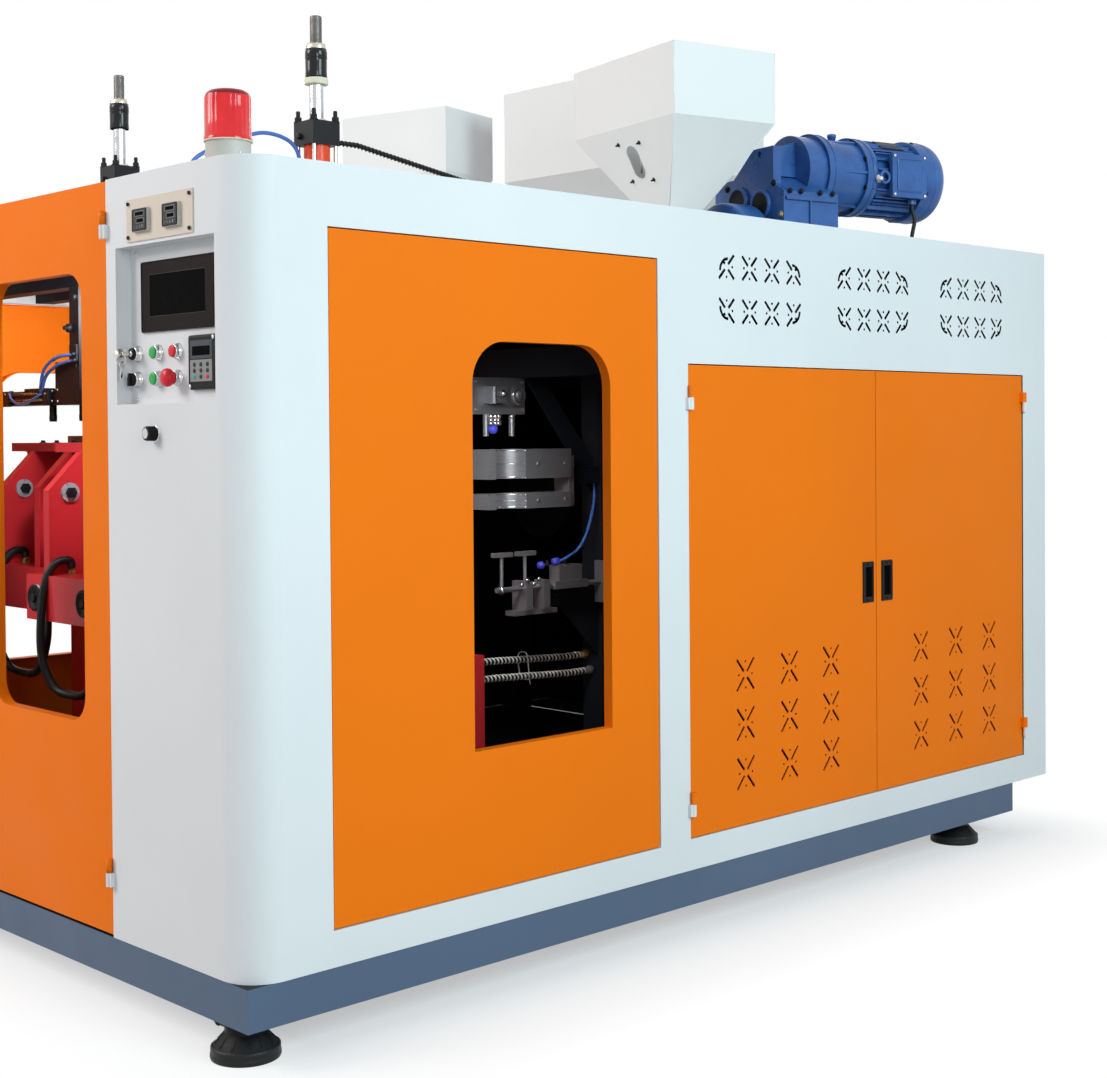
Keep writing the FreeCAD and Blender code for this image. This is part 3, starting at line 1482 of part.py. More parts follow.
def gear_motor():
    """Finned motor body with its flange, feet of the terminal box, and eye bolt boss."""
    length = "cowl_front - bell_rear"
    core = rod("bell_rear", "-motor_aside", up("motor_up"), "motor_radius", length, "X")
    fins = []
    for height in (-75, -45, -15, 15, 45, 75):
        reach = f"sqrt((motor_radius + fin_height) ^ 2 - {height} ^ 2)"
        fins.append(block("bell_rear + 20", f"-motor_aside - ({reach})",
                          up(f"motor_up + ({height}) - fin_thickness / 2"),
                          f"{length} - 30", f"2 * {reach}", "fin_thickness"))
    for side in (-60, -30, 0, 30, 60):
        reach = f"sqrt((motor_radius + fin_height) ^ 2 - {side} ^ 2)"
        fins.append(block("bell_rear + 20", f"{side} - motor_aside - fin_thickness / 2",
                          up(f"motor_up - ({reach})"), f"{length} - 30", "fin_thickness",
                          f"2 * {reach}"))
    return fused(core, *fins)


def fan_cowl():
    """The pressed cowl over the cooling fan, with its domed end."""
    axis = "-motor_aside"
    skirt = rod("cowl_front", axis, up("motor_up"), "cowl_radius",
                "cowl_rear - cowl_front - 52", "X")
    slope = cone("cowl_rear - 52", axis, up("motor_up"), "cowl_radius", "cowl_radius - 14",
                 "26", "X")
    dome = cone("cowl_rear - 26", axis, up("motor_up"), "cowl_radius - 14", "cowl_radius - 50",
                "26", "X")
    return fused(skirt, slope, dome)


def terminal_box():
    """The cast box on the motor's near side, with its lid and cable gland."""
    start, low = "terminal_start", "terminal_low"
    body = block(f"{start} + 6", "-terminal_reach", up(f"{low} + 8"), "terminal_length - 12",
                 "70", "terminal_height - 16")
    lid = block(start, "-terminal_reach - 12", up(low), "terminal_length", "12",
                "terminal_height")
    barrel = rod("bell_rear", "-motor_aside", up("motor_up"), "motor_radius + fin_height + 0.3",
                 "cowl_front - bell_rear", "X")
    gland = rod(f"{start} + terminal_length - 30", "-terminal_reach + 22", up(f"{low} + 8"),
                "13", "22", "-Z")
    return fused(carved(body, barrel), lid, gland)


def main_drive():
    """The main extruder's gear case under the hopper, and its motor."""
    case = block(along("main_case_front"), across("main_hopper_across - 190"), up("main_case_low"),
                 "main_case_length", "380", "main_barrel_up + 160 - main_case_low")
    case = rounded(case, ALONG_X, "60")
    motor = rod(along("main_case_front"), across("main_hopper_across"), up("main_motor_up"),
                "main_motor_radius", "main_motor_length", "-X")
    cowl = rod(along("main_case_front - main_motor_length"), across("main_hopper_across"),
               up("main_motor_up"), "main_motor_radius - 6", "110", "-X")
    foot = block(along("main_case_front + 30"), across("main_hopper_across - 160"), up(0),
                 "main_case_length - 60", "320", "main_case_low")
    return case, motor, cowl, foot


# ---- trimming unit ----------------------------------------------------------------------

def trim_frame():
    """The post behind the right-hand station with its tie, brace and two brackets."""
    x, y = "trim_post_along", "trim_post_across"
    post = block(along(x), across(y), up(0), "post", "post", "extruder_beam_up + post")
    tie = block(along(x), across("right_hopper_across - 17 + post"), up("extruder_beam_up"),
                "post", f"{y} - right_hopper_across + 17 - post", "post")
    beam_end, beam_up = "post_middle + post", "extruder_beam_up"
    brace = profile_body("XZ_Plane", [(along(beam_end), f"{beam_up} + post"),
                                      (along(beam_end), beam_up), (along(x), f"{beam_up} - 330"),
                                      (along(x), f"{beam_up} - 230")], "8")
    put(brace, "0", across(f"{y} + post / 2"), up(0))
    mask_arm = block(along("mask_end + 20"), across(f"{y} + 6"), up("mask_lower_low + 60"),
                     f"{x} - mask_end - 20", "30", "50")
    shelf = block(along("mask_end - 80"), across(y), up("gripper_up - 60"),
                  f"{x} - mask_end + 80", "40", "50")
    gusset = profile_body("XZ_Plane", [(along(x), "gripper_up - 60"),
                                       (along(f"{x} - 160"), "gripper_up - 60"),
                                       (along(x), "gripper_up - 220")], "8")
    put(gusset, "0", across(f"{y} + 24"), up(0))
    return fused(post, tie, brace, mask_arm, shelf, gusset)


def trim_tooling():
    """Two notched mask jaws on a back plate, the neck gripper below and the head plate above."""
    y = "trim_face"
    notch = rod(along("mask_notch_along"), across(y), up("mask_lower_low - 1"),
                "mask_notch_radius", "mask_upper_high - mask_lower_low + 2")
    jaws = []
    for low, high in (("mask_upper_low", "mask_upper_high"), ("mask_lower_low", "mask_lower_high")):
        jaw = block(along("mask_start"), across(y), up(low), "mask_end - mask_start",
                    "mask_depth", f"{high} - {low}")
        jaws.append(carved(jaw, notch))
    plate = block(along("mask_end"), across(f"{y} + 10"), up("mask_lower_low"), "20",
                  "mask_depth - 20", "mask_upper_high - mask_lower_low - 20")
    shelf_face, axis = "trim_post_across", "trim_post_across - 20"
    shaft = rod(along("mask_start + 40"), across(axis), up("gripper_up"), "gripper_rod_radius",
                "trim_post_along - 18 - mask_start - 40", "X")
    clamps = []
    for place in ("mask_start + 135", "mask_start + 200"):
        clamps.append(block(along(place), across(f"{shelf_face} - 40"), up("gripper_up - 60"),
                            "24", "60" if "135" in place else "40", "80"))
    rails = block(along("mask_start + 100"), across(f"{shelf_face} - 30"), up("gripper_up - 74"),
                  "160", "40", "14")
    uprights = [rod(along(place), across(axis), up("gripper_up"), "5", "90")
                for place in ("mask_start + 60", "mask_start + 147")]
    bars = [block(along(f"{place} - 30"), across(f"{axis} - 10"), up("gripper_up + 90"),
                  "64", "20", "12")
            for place in ("mask_start + 60", "mask_start + 147")]
    cylinder = block(along("mask_end - 40"), across(f"{shelf_face} - 30"), up("gripper_up + 12"),
                     "90", "42", "44")
    seat = block(along("mask_end - 60"), across(f"{shelf_face} - 34"), up("gripper_up - 10"),
                 "130", "60", "22")
    end = block(along("trim_post_along - 30"), across(f"{shelf_face} - 50"),
                up("gripper_up - 60"), "12", "50", "120")
    shaft_hole = rod(along("mask_end - 62"), across(axis), up("gripper_up"),
                     "gripper_rod_radius + 0.05", "140", "X")
    gripper = fused(shaft, *clamps, rails, *uprights, *bars, end)
    head = block(along("actuator_start"), across("trim_post_across"), up("actuator_low"),
                 "actuator_end - actuator_start", "12", "extruder_beam_up - actuator_low")
    boss = rod(along("actuator_end - 45"), across("trim_post_across"),
               up("actuator_low + 52"), "28", "22", "-Y")
    valve = block(along("actuator_start + 40"), across("trim_post_across - 30"),
                  up("actuator_low + 30"), "55", "30", "45")
    stubs = [rod(along(place), across("trim_post_across + 6"), up("actuator_low"), "8", "60", "-Z")
             for place in ("actuator_start + 50", "actuator_end - 45")]
    return [*jaws, plate, gripper, carved(fused(seat, cylinder), shaft_hole),
            fused(head, boss, valve, *stubs)]


# ---- hoses ------------------------------------------------------------------------------

def tube(points, radius, bend):
    """A round hose along straight runs joined by tangent bends."""
    places = [Vector(*(value(text) for text in point)) for point in points]
    edges, start = [], places[0]
    for number in range(1, len(places) - 1):
        corner = places[number]
        before = (places[number - 1] - corner).normalize()
        after = (places[number + 1] - corner).normalize()
        half_angle = before.getAngle(after) / 2
        setback = value(bend) / math.tan(half_angle)
        first, last = corner + before * setback, corner + after * setback
        inward = (before + after).normalize()
        centre = corner + inward * (value(bend) / math.sin(half_angle))
        middle = centre - inward * value(bend)
        edges.append(Part.LineSegment(start, first).toShape())
        edges.append(Part.Arc(first, middle, last).toShape())
        start = last
    edges.append(Part.LineSegment(start, places[-1]).toShape())
    way = places[1] - places[0]
    ring = Part.Wire([Part.Circle(places[0], way, value(radius)).toShape()])
    hose = doc.addObject("Part::Feature", "Hose")
    hose.Shape = Part.Wire(edges).makePipeShell([ring], True, False)
    return hose


def air_hose():
    """From the roof behind the beacon, over in an arc, down beside the right-hand cylinder."""
    y, roof = across("station_right + 17"), up("body_height")
    points = [(along("200"), y, roof), (along("200"), y, up("1750")),
              (along("330"), y, up("1805")),
              (along("545"), y, up("1910")), (along("612"), y, up("1845")),
              (along("612"), y, roof)]
    return tube(points, "air_hose_radius", "50")


def black_hoses():
    """The spiral-wrapped hose of the right-hand cylinder and the motors' supply cables."""
    y, roof = across("station_right"), up("body_height")
    port = "cylinder_head_low + 16"
    points = [(along("station_along + cylinder_side / 2"), y, up(port)),
              (along("830"), y, up(port)), (along("1430"), y, up("1794")),
              (along("1430"), y, roof)]
    hoses = [tube(points, "spiral_hose_radius", "60")]
    for side in ("right", "left"):
        cable = rod("terminal_start + terminal_length - 30", "-terminal_reach + 22", roof,
                    "cable_radius", "terminal_low - 14 - body_height")
        hoses.append(placed(cable, side))
    return hoses


def armoured_hoses():
    """Two steel-wound hoses from the shuttle bed's upright to the trimming unit's post."""
    hoses = []
    for number in range(2):
        height = f"armoured_hose_up + {number} * armoured_hose_rise"
        y = across(f"trim_post_across + 45 + {number} * 20")
        points = [(along("bed_rear + bed_beam + 142"), y, up(height)),
                  (along("1220"), y, up(height)), (along("1500"), y, up(f"{height} - 14")),
                  (along("trim_post_along"), y, up(f"{height} - 14"))]
        hoses.append(tube(points, "armoured_hose_radius", "300"))
    return hoses


# ---- assembly ---------------------------------------------------------------------------

def build():
    node("base_frame", base_frame())
    pads, castings = levelling_feet()
    node("levelling_feet", *pads, *castings)
    node("inner_frame", inner_frame())
    node("right_shell", shell_sheet(True))
    node("left_shell", mirrored(shell_sheet(False)))
    node("roof_panel", roof_panel())
    node("rear_panel", block(along("body_length - sheet"), across("top_return"), up(0),
                             "sheet", "body_width - 2 * top_return", "body_height"))
    guard = side_guard()
    node("side_guard_right", guard)
    node("side_guard_left", mirrored(guard))
    door, door_lower = front_door()
    node("front_door_right", door)
    node("front_door_left", mirrored(door))
    front_start, front_end = "cabinet_start + panel_gap", "cabinet_split - panel_gap / 2"
    rear_start, rear_end = "cabinet_split + panel_gap / 2", "cabinet_end - panel_gap"
    first, first_lower = cabinet_door(front_start, front_end, 1)
    second, second_lower = cabinet_door(rear_start, rear_end, -1)
    node("cabinet_door_front", first)
    node("cabinet_door_rear", second)
    node("handle_front", flush_handle(front_start, front_end, 1))
    node("handle_rear", flush_handle(rear_start, rear_end, -1))
    node("hinge_frame_halves", *door_lower, *[mirrored(half) for half in door_lower],
         *first_lower, *second_lower)
    node("control_panel", control_panel())
    node("button_collars", *[collar(*place) for place in SWITCHES.values()],
         *[contact_block(*place) for place in SWITCHES.values()])
    for name in ("green_button_upper", "green_button_lower", "red_button"):
        node(name, cap_stem(name, "cap_proud"))
    node("emergency_stop", emergency_stop())
    node("selector_switch", selector_switch())
    node("key_switch", key_switch())
    node("speed_knob", speed_knob())
    node("operator_screen", *operator_screen())
    node("inverter_keypad", inverter_keypad())
    node("controller_plate", controller_plate())
    node("temperature_controllers", temperature_controller("controller_first"),
         temperature_controller("controller_second"))
    base, dome, lamp = beacon()
    node("beacon_base", base, lamp)
    node("beacon_dome", dome)
    stations = ("station_right", "station_left")
    node("cylinder_ends", *[cylinder_ends(station) for station in stations])
    node("cylinder_barrels", *[cylinder_barrel(station) for station in stations])
    node("blow_rod_right", *blow_rod("station_right", True))
    node("blow_rod_left", *blow_rod("station_left", False))
    node("pin_guides", pin_guide("station_right", -1), pin_guide("station_left", 1))
    node("shuttle_bed", shuttle_bed())
    node("shuttle_rails", *shuttle_rails())
    # at rest the left carriage stands under its blow cylinder, clamped, and the right one
    # stands open under the die head in the middle
    for name, station, opened in (("right", "body_width / 2", 1),
                                  ("left", "station_left", 0)):
        node(f"carriage_{name}", carriage(station))
        for end, way in (("front", -1), ("rear", 1)):
            node(f"platen_{end}_{name}", *platen(station, way, opened))
            node(f"mould_{end}_{name}", mould_half(station, way, opened))
    die = die_head()
    node("die_head", die)
    node("extruder_barrels", *extruder_barrels(die))
    node("hopper_right", placed(carved(hopper("right"), sight_slot()), "right"))
    node("hopper_left", placed(hopper("left"), "left"))
    main_hopper = grouped(hopper("main"))
    put(main_hopper, along("main_hopper_along"), across("main_hopper_across"), "0")
    node("hopper_main", main_hopper)
    case, motor, cowl, foot = main_drive()
    sides = ("right", "left")
    node("gearboxes", case, foot, *[placed(gearbox(), side) for side in sides])
    motors = [motor, cowl]
    for side in sides:
        motors += [placed(gear_motor(), side), placed(fan_cowl(), side),
                   placed(terminal_box(), side)]
    node("gear_motors", *motors)
    node("trim_frame", trim_frame())
    node("trim_tooling", *trim_tooling())
    node("air_hose", air_hose())
    node("black_hoses", *black_hoses())
    node("armoured_hoses", *armoured_hoses())


def export():
    doc.recompute()
    for item in doc.Objects:
        if "Invalid" in item.State or "Error" in item.State:
            raise RuntimeError(f"{item.Name} ({item.Label}) failed: {item.State}")
    for label, item in NODES.items():
        if item.Shape.isNull() or not item.Shape.isValid():
            raise RuntimeError(f"{label} has no valid shape")
    os.makedirs("parts", exist_ok=True)
    for label, item in NODES.items():
        item.Shape.exportStep(f"parts/{label}.step")
    print(len(NODES), "nodes written")


build()
export()
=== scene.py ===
"""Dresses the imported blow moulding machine: materials, small fittings, light and camera."""

import json
import math
from itertools import product

import bmesh
import bpy
from mathutils import Matrix, Vector


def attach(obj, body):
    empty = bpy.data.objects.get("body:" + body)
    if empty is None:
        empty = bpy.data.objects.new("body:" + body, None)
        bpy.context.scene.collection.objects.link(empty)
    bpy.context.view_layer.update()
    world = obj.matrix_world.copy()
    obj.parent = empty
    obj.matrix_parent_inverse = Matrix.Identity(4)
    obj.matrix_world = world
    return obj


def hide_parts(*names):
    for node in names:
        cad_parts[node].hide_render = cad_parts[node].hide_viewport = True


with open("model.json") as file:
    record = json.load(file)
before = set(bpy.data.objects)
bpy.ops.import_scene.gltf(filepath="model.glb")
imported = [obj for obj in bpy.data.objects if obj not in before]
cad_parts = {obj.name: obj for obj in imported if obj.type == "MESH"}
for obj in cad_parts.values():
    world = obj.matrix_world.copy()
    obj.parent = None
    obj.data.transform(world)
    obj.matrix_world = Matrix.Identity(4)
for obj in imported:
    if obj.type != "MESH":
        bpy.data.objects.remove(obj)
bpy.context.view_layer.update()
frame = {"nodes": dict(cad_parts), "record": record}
scene = bpy.context.scene
nodes = frame["nodes"]

MATERIALS = {}
MM = 0.001
# the blow cylinders, and the middle of each station's platens at rest
ROD_X, STATIONS, CLAMPS = 699, {"right": 695, "left": 1685}, {"right": 1190, "left": 1685}
# the hopper's axis and the heading of each side extruder, and the axis of its motor
DRIVES = {"right": (1680, 347, -12.7), "left": (2050, 1925, 14.0)}
DRIVE_Y, DRIVE_Z = -30, 1888
HOPPER_RIM, HOPPER_WALL, HOPPER_FOOT = 2170, 194, 1725
SHEET = 3
FRONT_HINGES = (1599, 147)


def at(x, y, z):
    """A place measured from the machine's near corner in millimetres, in the model's frame."""
    return Vector(((x - 1550) / 1000, (y - 1190) / 1000, (z + 169) / 1000))


def mm(x, y, z):
    """A place in millimetres in a frame of its own."""
    return Vector((x, y, z)) * MM


def circle(count):
    """The angles of a circle's equal steps."""
    return [2 * math.pi * step / count for step in range(count)]


# ---- camera -----------------------------------------------------------------------------

def camera():
    """The photograph's viewpoint, as solved from its perspective."""
    yaw, pitch, roll = math.radians(45.88), math.radians(-0.85), math.radians(-0.42)
    forward = Vector((math.cos(pitch) * math.cos(yaw), math.cos(pitch) * math.sin(yaw),
                      math.sin(pitch)))
    side = Vector((math.sin(yaw), -math.cos(yaw), 0))
    rise = side.cross(forward)
    right = math.cos(roll) * side + math.sin(roll) * rise
    top = -math.sin(roll) * side + math.cos(roll) * rise
    data = bpy.data.cameras.new("camera")
    data.sensor_fit = "HORIZONTAL"
    data.sensor_width = 36
    data.lens = 56.03
    data.shift_x = -0.0049
    data.shift_y = -0.0715
    data.clip_end = 60
    data.dof.use_dof = False
    eye = bpy.data.objects.new("camera", data)
    matrix = Matrix((right, top, -forward)).transposed().to_4x4()
    matrix.translation = Vector((-3.512, -4.128, 1.293))
    eye.matrix_world = matrix
    scene.collection.objects.link(eye)
    scene.camera = eye


# ---- materials --------------------------------------------------------------------------

def feed(socket, value):
    """Gives an input a value, or the output of another node."""
    if isinstance(value, bpy.types.NodeSocket):
        socket.id_data.links.new(value, socket)
    else:
        socket.default_value = value


def add_node(tree, kind, *sources, **settings):
    """A shader node: sources feed its inputs in turn, then come settings and named inputs.

    A setting's name is written small, and an input's with _ for a space.
    """
    node = tree.nodes.new(kind)
    for number, source in enumerate(sources):
        feed(node.inputs[number], source)
    for name, value in settings.items():
        if name.islower():
            setattr(node, name, value)
        else:
            feed(node.inputs[name.replace("_", " ")], value)
    return node


def ramp(tree, source, low, high, start, end):
    return add_node(tree, "ShaderNodeMapRange", Value=source, From_Min=low, From_Max=high,
                    To_Min=start, To_Max=end).outputs["Result"]


class Shader:
    """A Principled material whose colour, roughness and bump come from its own noises."""

    def __init__(self, name, colour, roughness, metallic=0.0, coat=0.0):
        self.material = bpy.data.materials.new(name)
        self.material.use_nodes = True
        self.tree = self.material.node_tree
        self.shader = self.tree.nodes["Principled BSDF"]
        self.colour = colour
        self.set(Base_Color=(*colour, 1), Roughness=roughness, Metallic=metallic,
                 Coat_Weight=coat, Coat_Roughness=0.08)

    def set(self, **inputs):
        for name, value in inputs.items():
            feed(self.shader.inputs[name.replace("_", " ")], value)
        return self

    def sheen(self, level):
        return self.set(Specular_IOR_Level=level)

    def noise(self, scale, detail, stretch):
        place = add_node(self.tree, "ShaderNodeTexCoord").outputs["Object"]
        mapping = add_node(self.tree, "ShaderNodeMapping", Vector=place, Scale=stretch)
        return add_node(self.tree, "ShaderNodeTexNoise", Vector=mapping.outputs["Vector"],
                        Scale=scale, Detail=detail).outputs["Fac"]

    def mottle(self, scale, amount, stretch=(1, 1, 1)):
        """Drifts the colour between a darker and a lighter tone of itself."""
        darker = [channel * (1 - amount) for channel in self.colour]
        lighter = [min(1, channel * (1 + amount * 0.5)) for channel in self.colour]
        share = ramp(self.tree, self.noise(scale, 4.0, stretch), 0.3, 0.7, 0.0, 1.0)
        mix = add_node(self.tree, "ShaderNodeMix", data_type="RGBA", A=(*darker, 1),
                       B=(*lighter, 1), Factor=share)
        return self.set(Base_Color=mix.outputs["Result"])

    def polish(self, scale, low, high, stretch=(1, 1, 1)):
        """Lets the roughness wander between two values."""
        return self.set(Roughness=ramp(self.tree, self.noise(scale, 3.0, stretch), 0.35, 0.65,
                                       low, high))

    def grain(self, scale, distance, strength, stretch=(1, 1, 1)):
        """Raises a fine relief: orange peel, casting skin or brushing."""
        bump = add_node(self.tree, "ShaderNodeBump", Strength=strength, Distance=distance,
                        Height=self.noise(scale, 2.0, stretch))
        return self.set(Normal=bump.outputs["Normal"])


def painted(name, colour, roughness, coat=0.0, amount=0.04, sheen=0.2):
    shader = Shader(name, colour, roughness, coat=coat).mottle(1.4, amount).sheen(sheen)
    return shader.polish(6, roughness - 0.05, roughness + 0.07).grain(420, 0.0006, 0.12)


def cast(name, colour, roughness=0.5, metallic=0.0, coat=0.0, amount=0.3, sheen=0.3):
    shader = Shader(name, colour, roughness, metallic, coat).mottle(14, amount).sheen(sheen)
    return shader.polish(30, roughness - 0.1, roughness + 0.12).grain(160, 0.0012, 0.35)


def brushed(name, colour, roughness, metallic=1.0, amount=0.12, stretch=(1, 1, 1)):
    shader = Shader(name, colour, roughness, metallic).mottle(25, amount, stretch)
    return shader.polish(60, roughness - 0.08, roughness + 0.12, stretch).grain(
        180, 0.0004, 0.2, stretch)


def plastic(name, colour, roughness=0.5, coat=0.0, amount=0.06, sheen=0.25):
    shader = Shader(name, colour, roughness, coat=coat).mottle(30, amount).sheen(sheen)
    return shader.polish(40, roughness - 0.05, roughness + 0.06).grain(900, 0.0003, 0.15)


def make_materials():
    """Each finish with its materials: a colour, and the finish's own values where they differ."""
    tables = ((painted, {
        "white_paint": ((0.755, 0.765, 0.775), 0.42),
        "orange_paint": ((0.90, 0.186, 0.005), 0.45, 0.0, 0.03, 0.08),
        "base_paint": ((0.090, 0.132, 0.205), 0.45, 0.0, 0.06),
        # partly painted shade: the frame's own dark paint, made darker still because it stands in
        # the cabinet's shadow
        "frame_paint": ((0.011, 0.014, 0.020), 0.50, 0.0, 0.2, 0.1),
        # painted shade: a near black for inner faces and parts inside the cabinet, which stand in
        # shadow
        "lining": ((0.006, 0.006, 0.007), 0.8, 0.0, 0.2, 0.05),
        "red_paint": ((0.58, 0.028, 0.036), 0.38, 0.1, 0.14),
        "hopper_paint": ((0.79, 0.78, 0.77), 0.48, 0.0, 0.03),
        "cream_paint": ((0.70, 0.61, 0.52), 0.45, 0.0, 0.03),
        "barrel_red": ((0.74, 0.060, 0.010), 0.28, 0.2, 0.05),
        "black_metal": ((0.010, 0.010, 0.012), 0.36, 0.0, 0.2),
    }), (cast, {
        "motor_paint": ((0.030, 0.105, 0.32), 0.34, 0.0, 0.15, 0.22),
        "cast_steel": ((0.012, 0.012, 0.013), 0.5, 0.0, 0.0, 0.3, 0.12),
        "mould_steel": ((0.17, 0.085, 0.045), 0.5, 0.2, 0.0, 0.35),
        "thread_steel": ((0.17, 0.16, 0.15), 0.42, 0.7),
    }), (brushed, {
        "tool_steel": ((0.22, 0.225, 0.24), 0.36, 0.6, 0.12, (1, 1, 40)),
        "washer_steel": ((0.46, 0.52, 0.58), 0.3, 0.3, 0.2),
        "chrome": ((0.60, 0.60, 0.61), 0.16, 0.9, 0.05),
        "zinc": ((0.66, 0.60, 0.50), 0.25),
        "hose_steel": ((0.80, 0.80, 0.76), 0.3, 0.35, 0.1),
        "brass": ((0.52, 0.36, 0.15), 0.28, 0.7),
    }), (plastic, {
        "tape_black": ((0.006, 0.006, 0.007), 0.14, 0.15),
        "black_plastic": ((0.010, 0.009, 0.009), 0.42, 0.0, 0.06, 0.12),
        "bezel": ((0.018, 0.013, 0.012), 0.4, 0.0, 0.06, 0.04),
        "pane": ((0.16, 0.16, 0.17), 0.25),
        "screen_glass": ((0.003, 0.003, 0.003), 0.25, 0.0, 0.06, 0.01),
        "grey_plastic": ((0.50, 0.49, 0.44), 0.4),
        "key_grey": ((0.26, 0.26, 0.26),),
        "key_blue": ((0.050, 0.056, 0.066),),
        "key_dark": ((0.022, 0.021, 0.022),),
        "key_teal": ((0.03, 0.35, 0.28),),
        "cream_ring": ((0.72, 0.68, 0.52),),
        "beacon_red": ((0.80, 0.020, 0.026), 0.12, 0.12, 0.12),
        "beacon_cap": ((0.24, 0.002, 0.010), 0.16, 0.1, 0.15),
        "button_green": ((0.020, 0.40, 0.075), 0.3, 0.1),
        "button_red": ((0.68, 0.010, 0.022), 0.3, 0.1),
        "blue_hose": ((0.060, 0.16, 0.50), 0.25, 0.3),
        "blue_fitting": ((0.05, 0.06, 0.50), 0.35, 0.2),
        "black_rubber": ((0.009, 0.009, 0.009), 0.45),
        "cable_tie": ((0.52, 0.52, 0.52),),
    }))
    for finish, table in tables:
        for name, values in table.items():
            MATERIALS[name] = finish(name, *values).material


# ---- mesh helpers -----------------------------------------------------------------------

def strip(part, low, high, smooth=False):
    """Faces from one ring of vertices to the next; a ring of one vertex closes the end."""
    count = max(len(low), len(high))
    for step in range(count):
        after = (step + 1) % count
        corners = (low[step % len(low)], low[after % len(low)], high[after % len(high)],
                   high[step % len(high)])
        part.faces.new(tuple(dict.fromkeys(corners))).smooth = smooth


def fill(part, *rings):
    """A flat face between closed rings of vertices."""
    edges = [part.edges.get(pair) or part.edges.new(pair)
             for ring in rings for pair in zip(ring, ring[1:] + ring[:1])]
    bmesh.ops.triangle_fill(part, edges=edges, use_beauty=True)


class Piece:
    """A new piece of the scene, built in one bmesh with material slots by name.

    Its measures are millimetres. A place is a Vector, or three numbers that its origin turns
    into one. What isn't given a material has that of the piece's slot.
    """

    def __init__(self, name, slot, body="machine", origin=at):
        self.name, self.slot, self.body, self.origin = name, slot, body, origin
        self.mesh = bmesh.new()
        self.names = []

    def spot(self, place):
        return place if isinstance(place, Vector) else self.origin(*place)

    def merge(self, part, material=None, matrix=None):
        if matrix is not None:
            part.transform(matrix)
        material = material or self.slot
        if material not in self.names:
            self.names.append(material)
        verts = {vert: self.mesh.verts.new(vert.co) for vert in part.verts}
        for face in part.faces:
            new = self.mesh.faces.new([verts[vert] for vert in face.verts])
            new.material_index = self.names.index(material)
            new.smooth = face.smooth
        part.free()
        return self

    def loft(self, rings, material=None, smooth=False, capped=False, matrix=None):
        """A skin over rings of points, closed at both ends where it is capped."""
        part = bmesh.new()
        rings = [[part.verts.new(point) for point in ring] for ring in rings]
        for low, high in zip(rings, rings[1:]):
            strip(part, low, high, smooth)
        if capped:
            part.faces.new(rings[0][::-1])
            part.faces.new(rings[-1])
        bmesh.ops.recalc_face_normals(part, faces=list(part.faces))
        return self.merge(part, material, matrix)

    def block(self, first, second, bevel=1, material=None, matrix=None):
        """A box with bevelled edges between two opposite corners."""
        corners = list(zip(self.spot(first), self.spot(second)))
        part = bmesh.new()
        bmesh.ops.create_cube(part, size=1)
        for vert in part.verts:
            vert.co = Vector([(low + high) / 2 + share * abs(high - low)
                              for share, (low, high) in zip(vert.co, corners)])
        if bevel:
            bmesh.ops.bevel(part, geom=list(part.edges), offset=bevel * MM, segments=2,
                            affect="EDGES", profile=0.5)
        return self.merge(part, material, matrix)

    def lathe(self, profile, place, axis="Z", steps=32, material=None, smooth=True):
        """Turns a profile, its radii and heights by turns, round an axis through a place."""
        rings = [[(radius * MM * math.cos(turn), radius * MM * math.sin(turn), height * MM)
                  for turn in circle(steps)] if radius else [(0, 0, height * MM)]
                 for radius, height in zip(profile[::2], profile[1::2])]
        matrix = Matrix.Translation(self.spot(place)) @ turn_to(axis)
        return self.loft(rings, material, smooth, matrix=matrix)

    def plug(self, profile, *more, **named):
        """A turned body that is flat at both ends."""
        return self.lathe((0, profile[1], *profile, 0, profile[-1]), *more, **named)

    def screw(self, sizes, place, axis="-X", steps=14, material="chrome", smooth=True):
        """A screw head from its radius, its crown's radius, and the heights of edge and crown."""
        radius, crown, edge, height = sizes
        return self.lathe((0, 0, radius, 0, crown, edge, 0, height), place, axis, steps,
                          material, smooth)

    def hexagon(self, radius, height, place, axis="Z", material=None):
        return self.plug((radius, 0, radius, height * 0.88, radius * 0.9, height), place, axis,
                         6, material, False)

    def bolt(self, radius, place, axis="Z", material="cast_steel"):
        """A hexagon head on its washer."""
        thick = radius * 0.25
        self.plug((radius * 1.5, 0, radius * 1.5, thick), place, axis, 20, material)
        lift = turn_to(axis) @ mm(0, 0, thick)
        return self.hexagon(radius, radius * 0.8, self.spot(place) + lift, axis, material)

    def tube(self, path, radius, steps=12, material=None):
        """A round hose that follows a list of places."""
        rings = [[place + radius * MM * (math.cos(turn) * side + math.sin(turn) * rise)
                  for turn in circle(steps)]
                 for place, side, rise in framed([self.spot(place) for place in path])]
        return self.loft(rings, material, smooth=True, capped=True)

    def hose(self, places, radius, steps=12, material=None, run=8):
        """A tube that bends smoothly through a few places."""
        return self.tube(spline([self.spot(place) for place in places], run), radius, steps,
                         material)

    def wound(self, path, radius, wire, pitch, steps=6, per_turn=12, material=None):
        """A wire wound round a hose's path, one turn each pitch."""
        frames = framed([self.spot(place) for place in path])
        lengths = [0.0]
        for before, after in zip(frames, frames[1:]):
            lengths.append(lengths[-1] + (after[0] - before[0]).length)
        total = lengths[-1]
        count = int(total / (pitch * MM) * per_turn)
        points, place = [], 0
        for step in range(count + 1):
            run = total * step / count
            while place < len(lengths) - 2 and lengths[place + 1] < run:
                place += 1
            share = (run - lengths[place]) / (lengths[place + 1] - lengths[place])
            middle, side, rise = (start.lerp(end, share)
                                  for start, end in zip(frames[place], frames[place + 1]))
            turn = 2 * math.pi * run / (pitch * MM)
            points.append(middle + radius * MM * (math.cos(turn) * side + math.sin(turn) * rise))
        return self.tube(points, wire, steps, material)

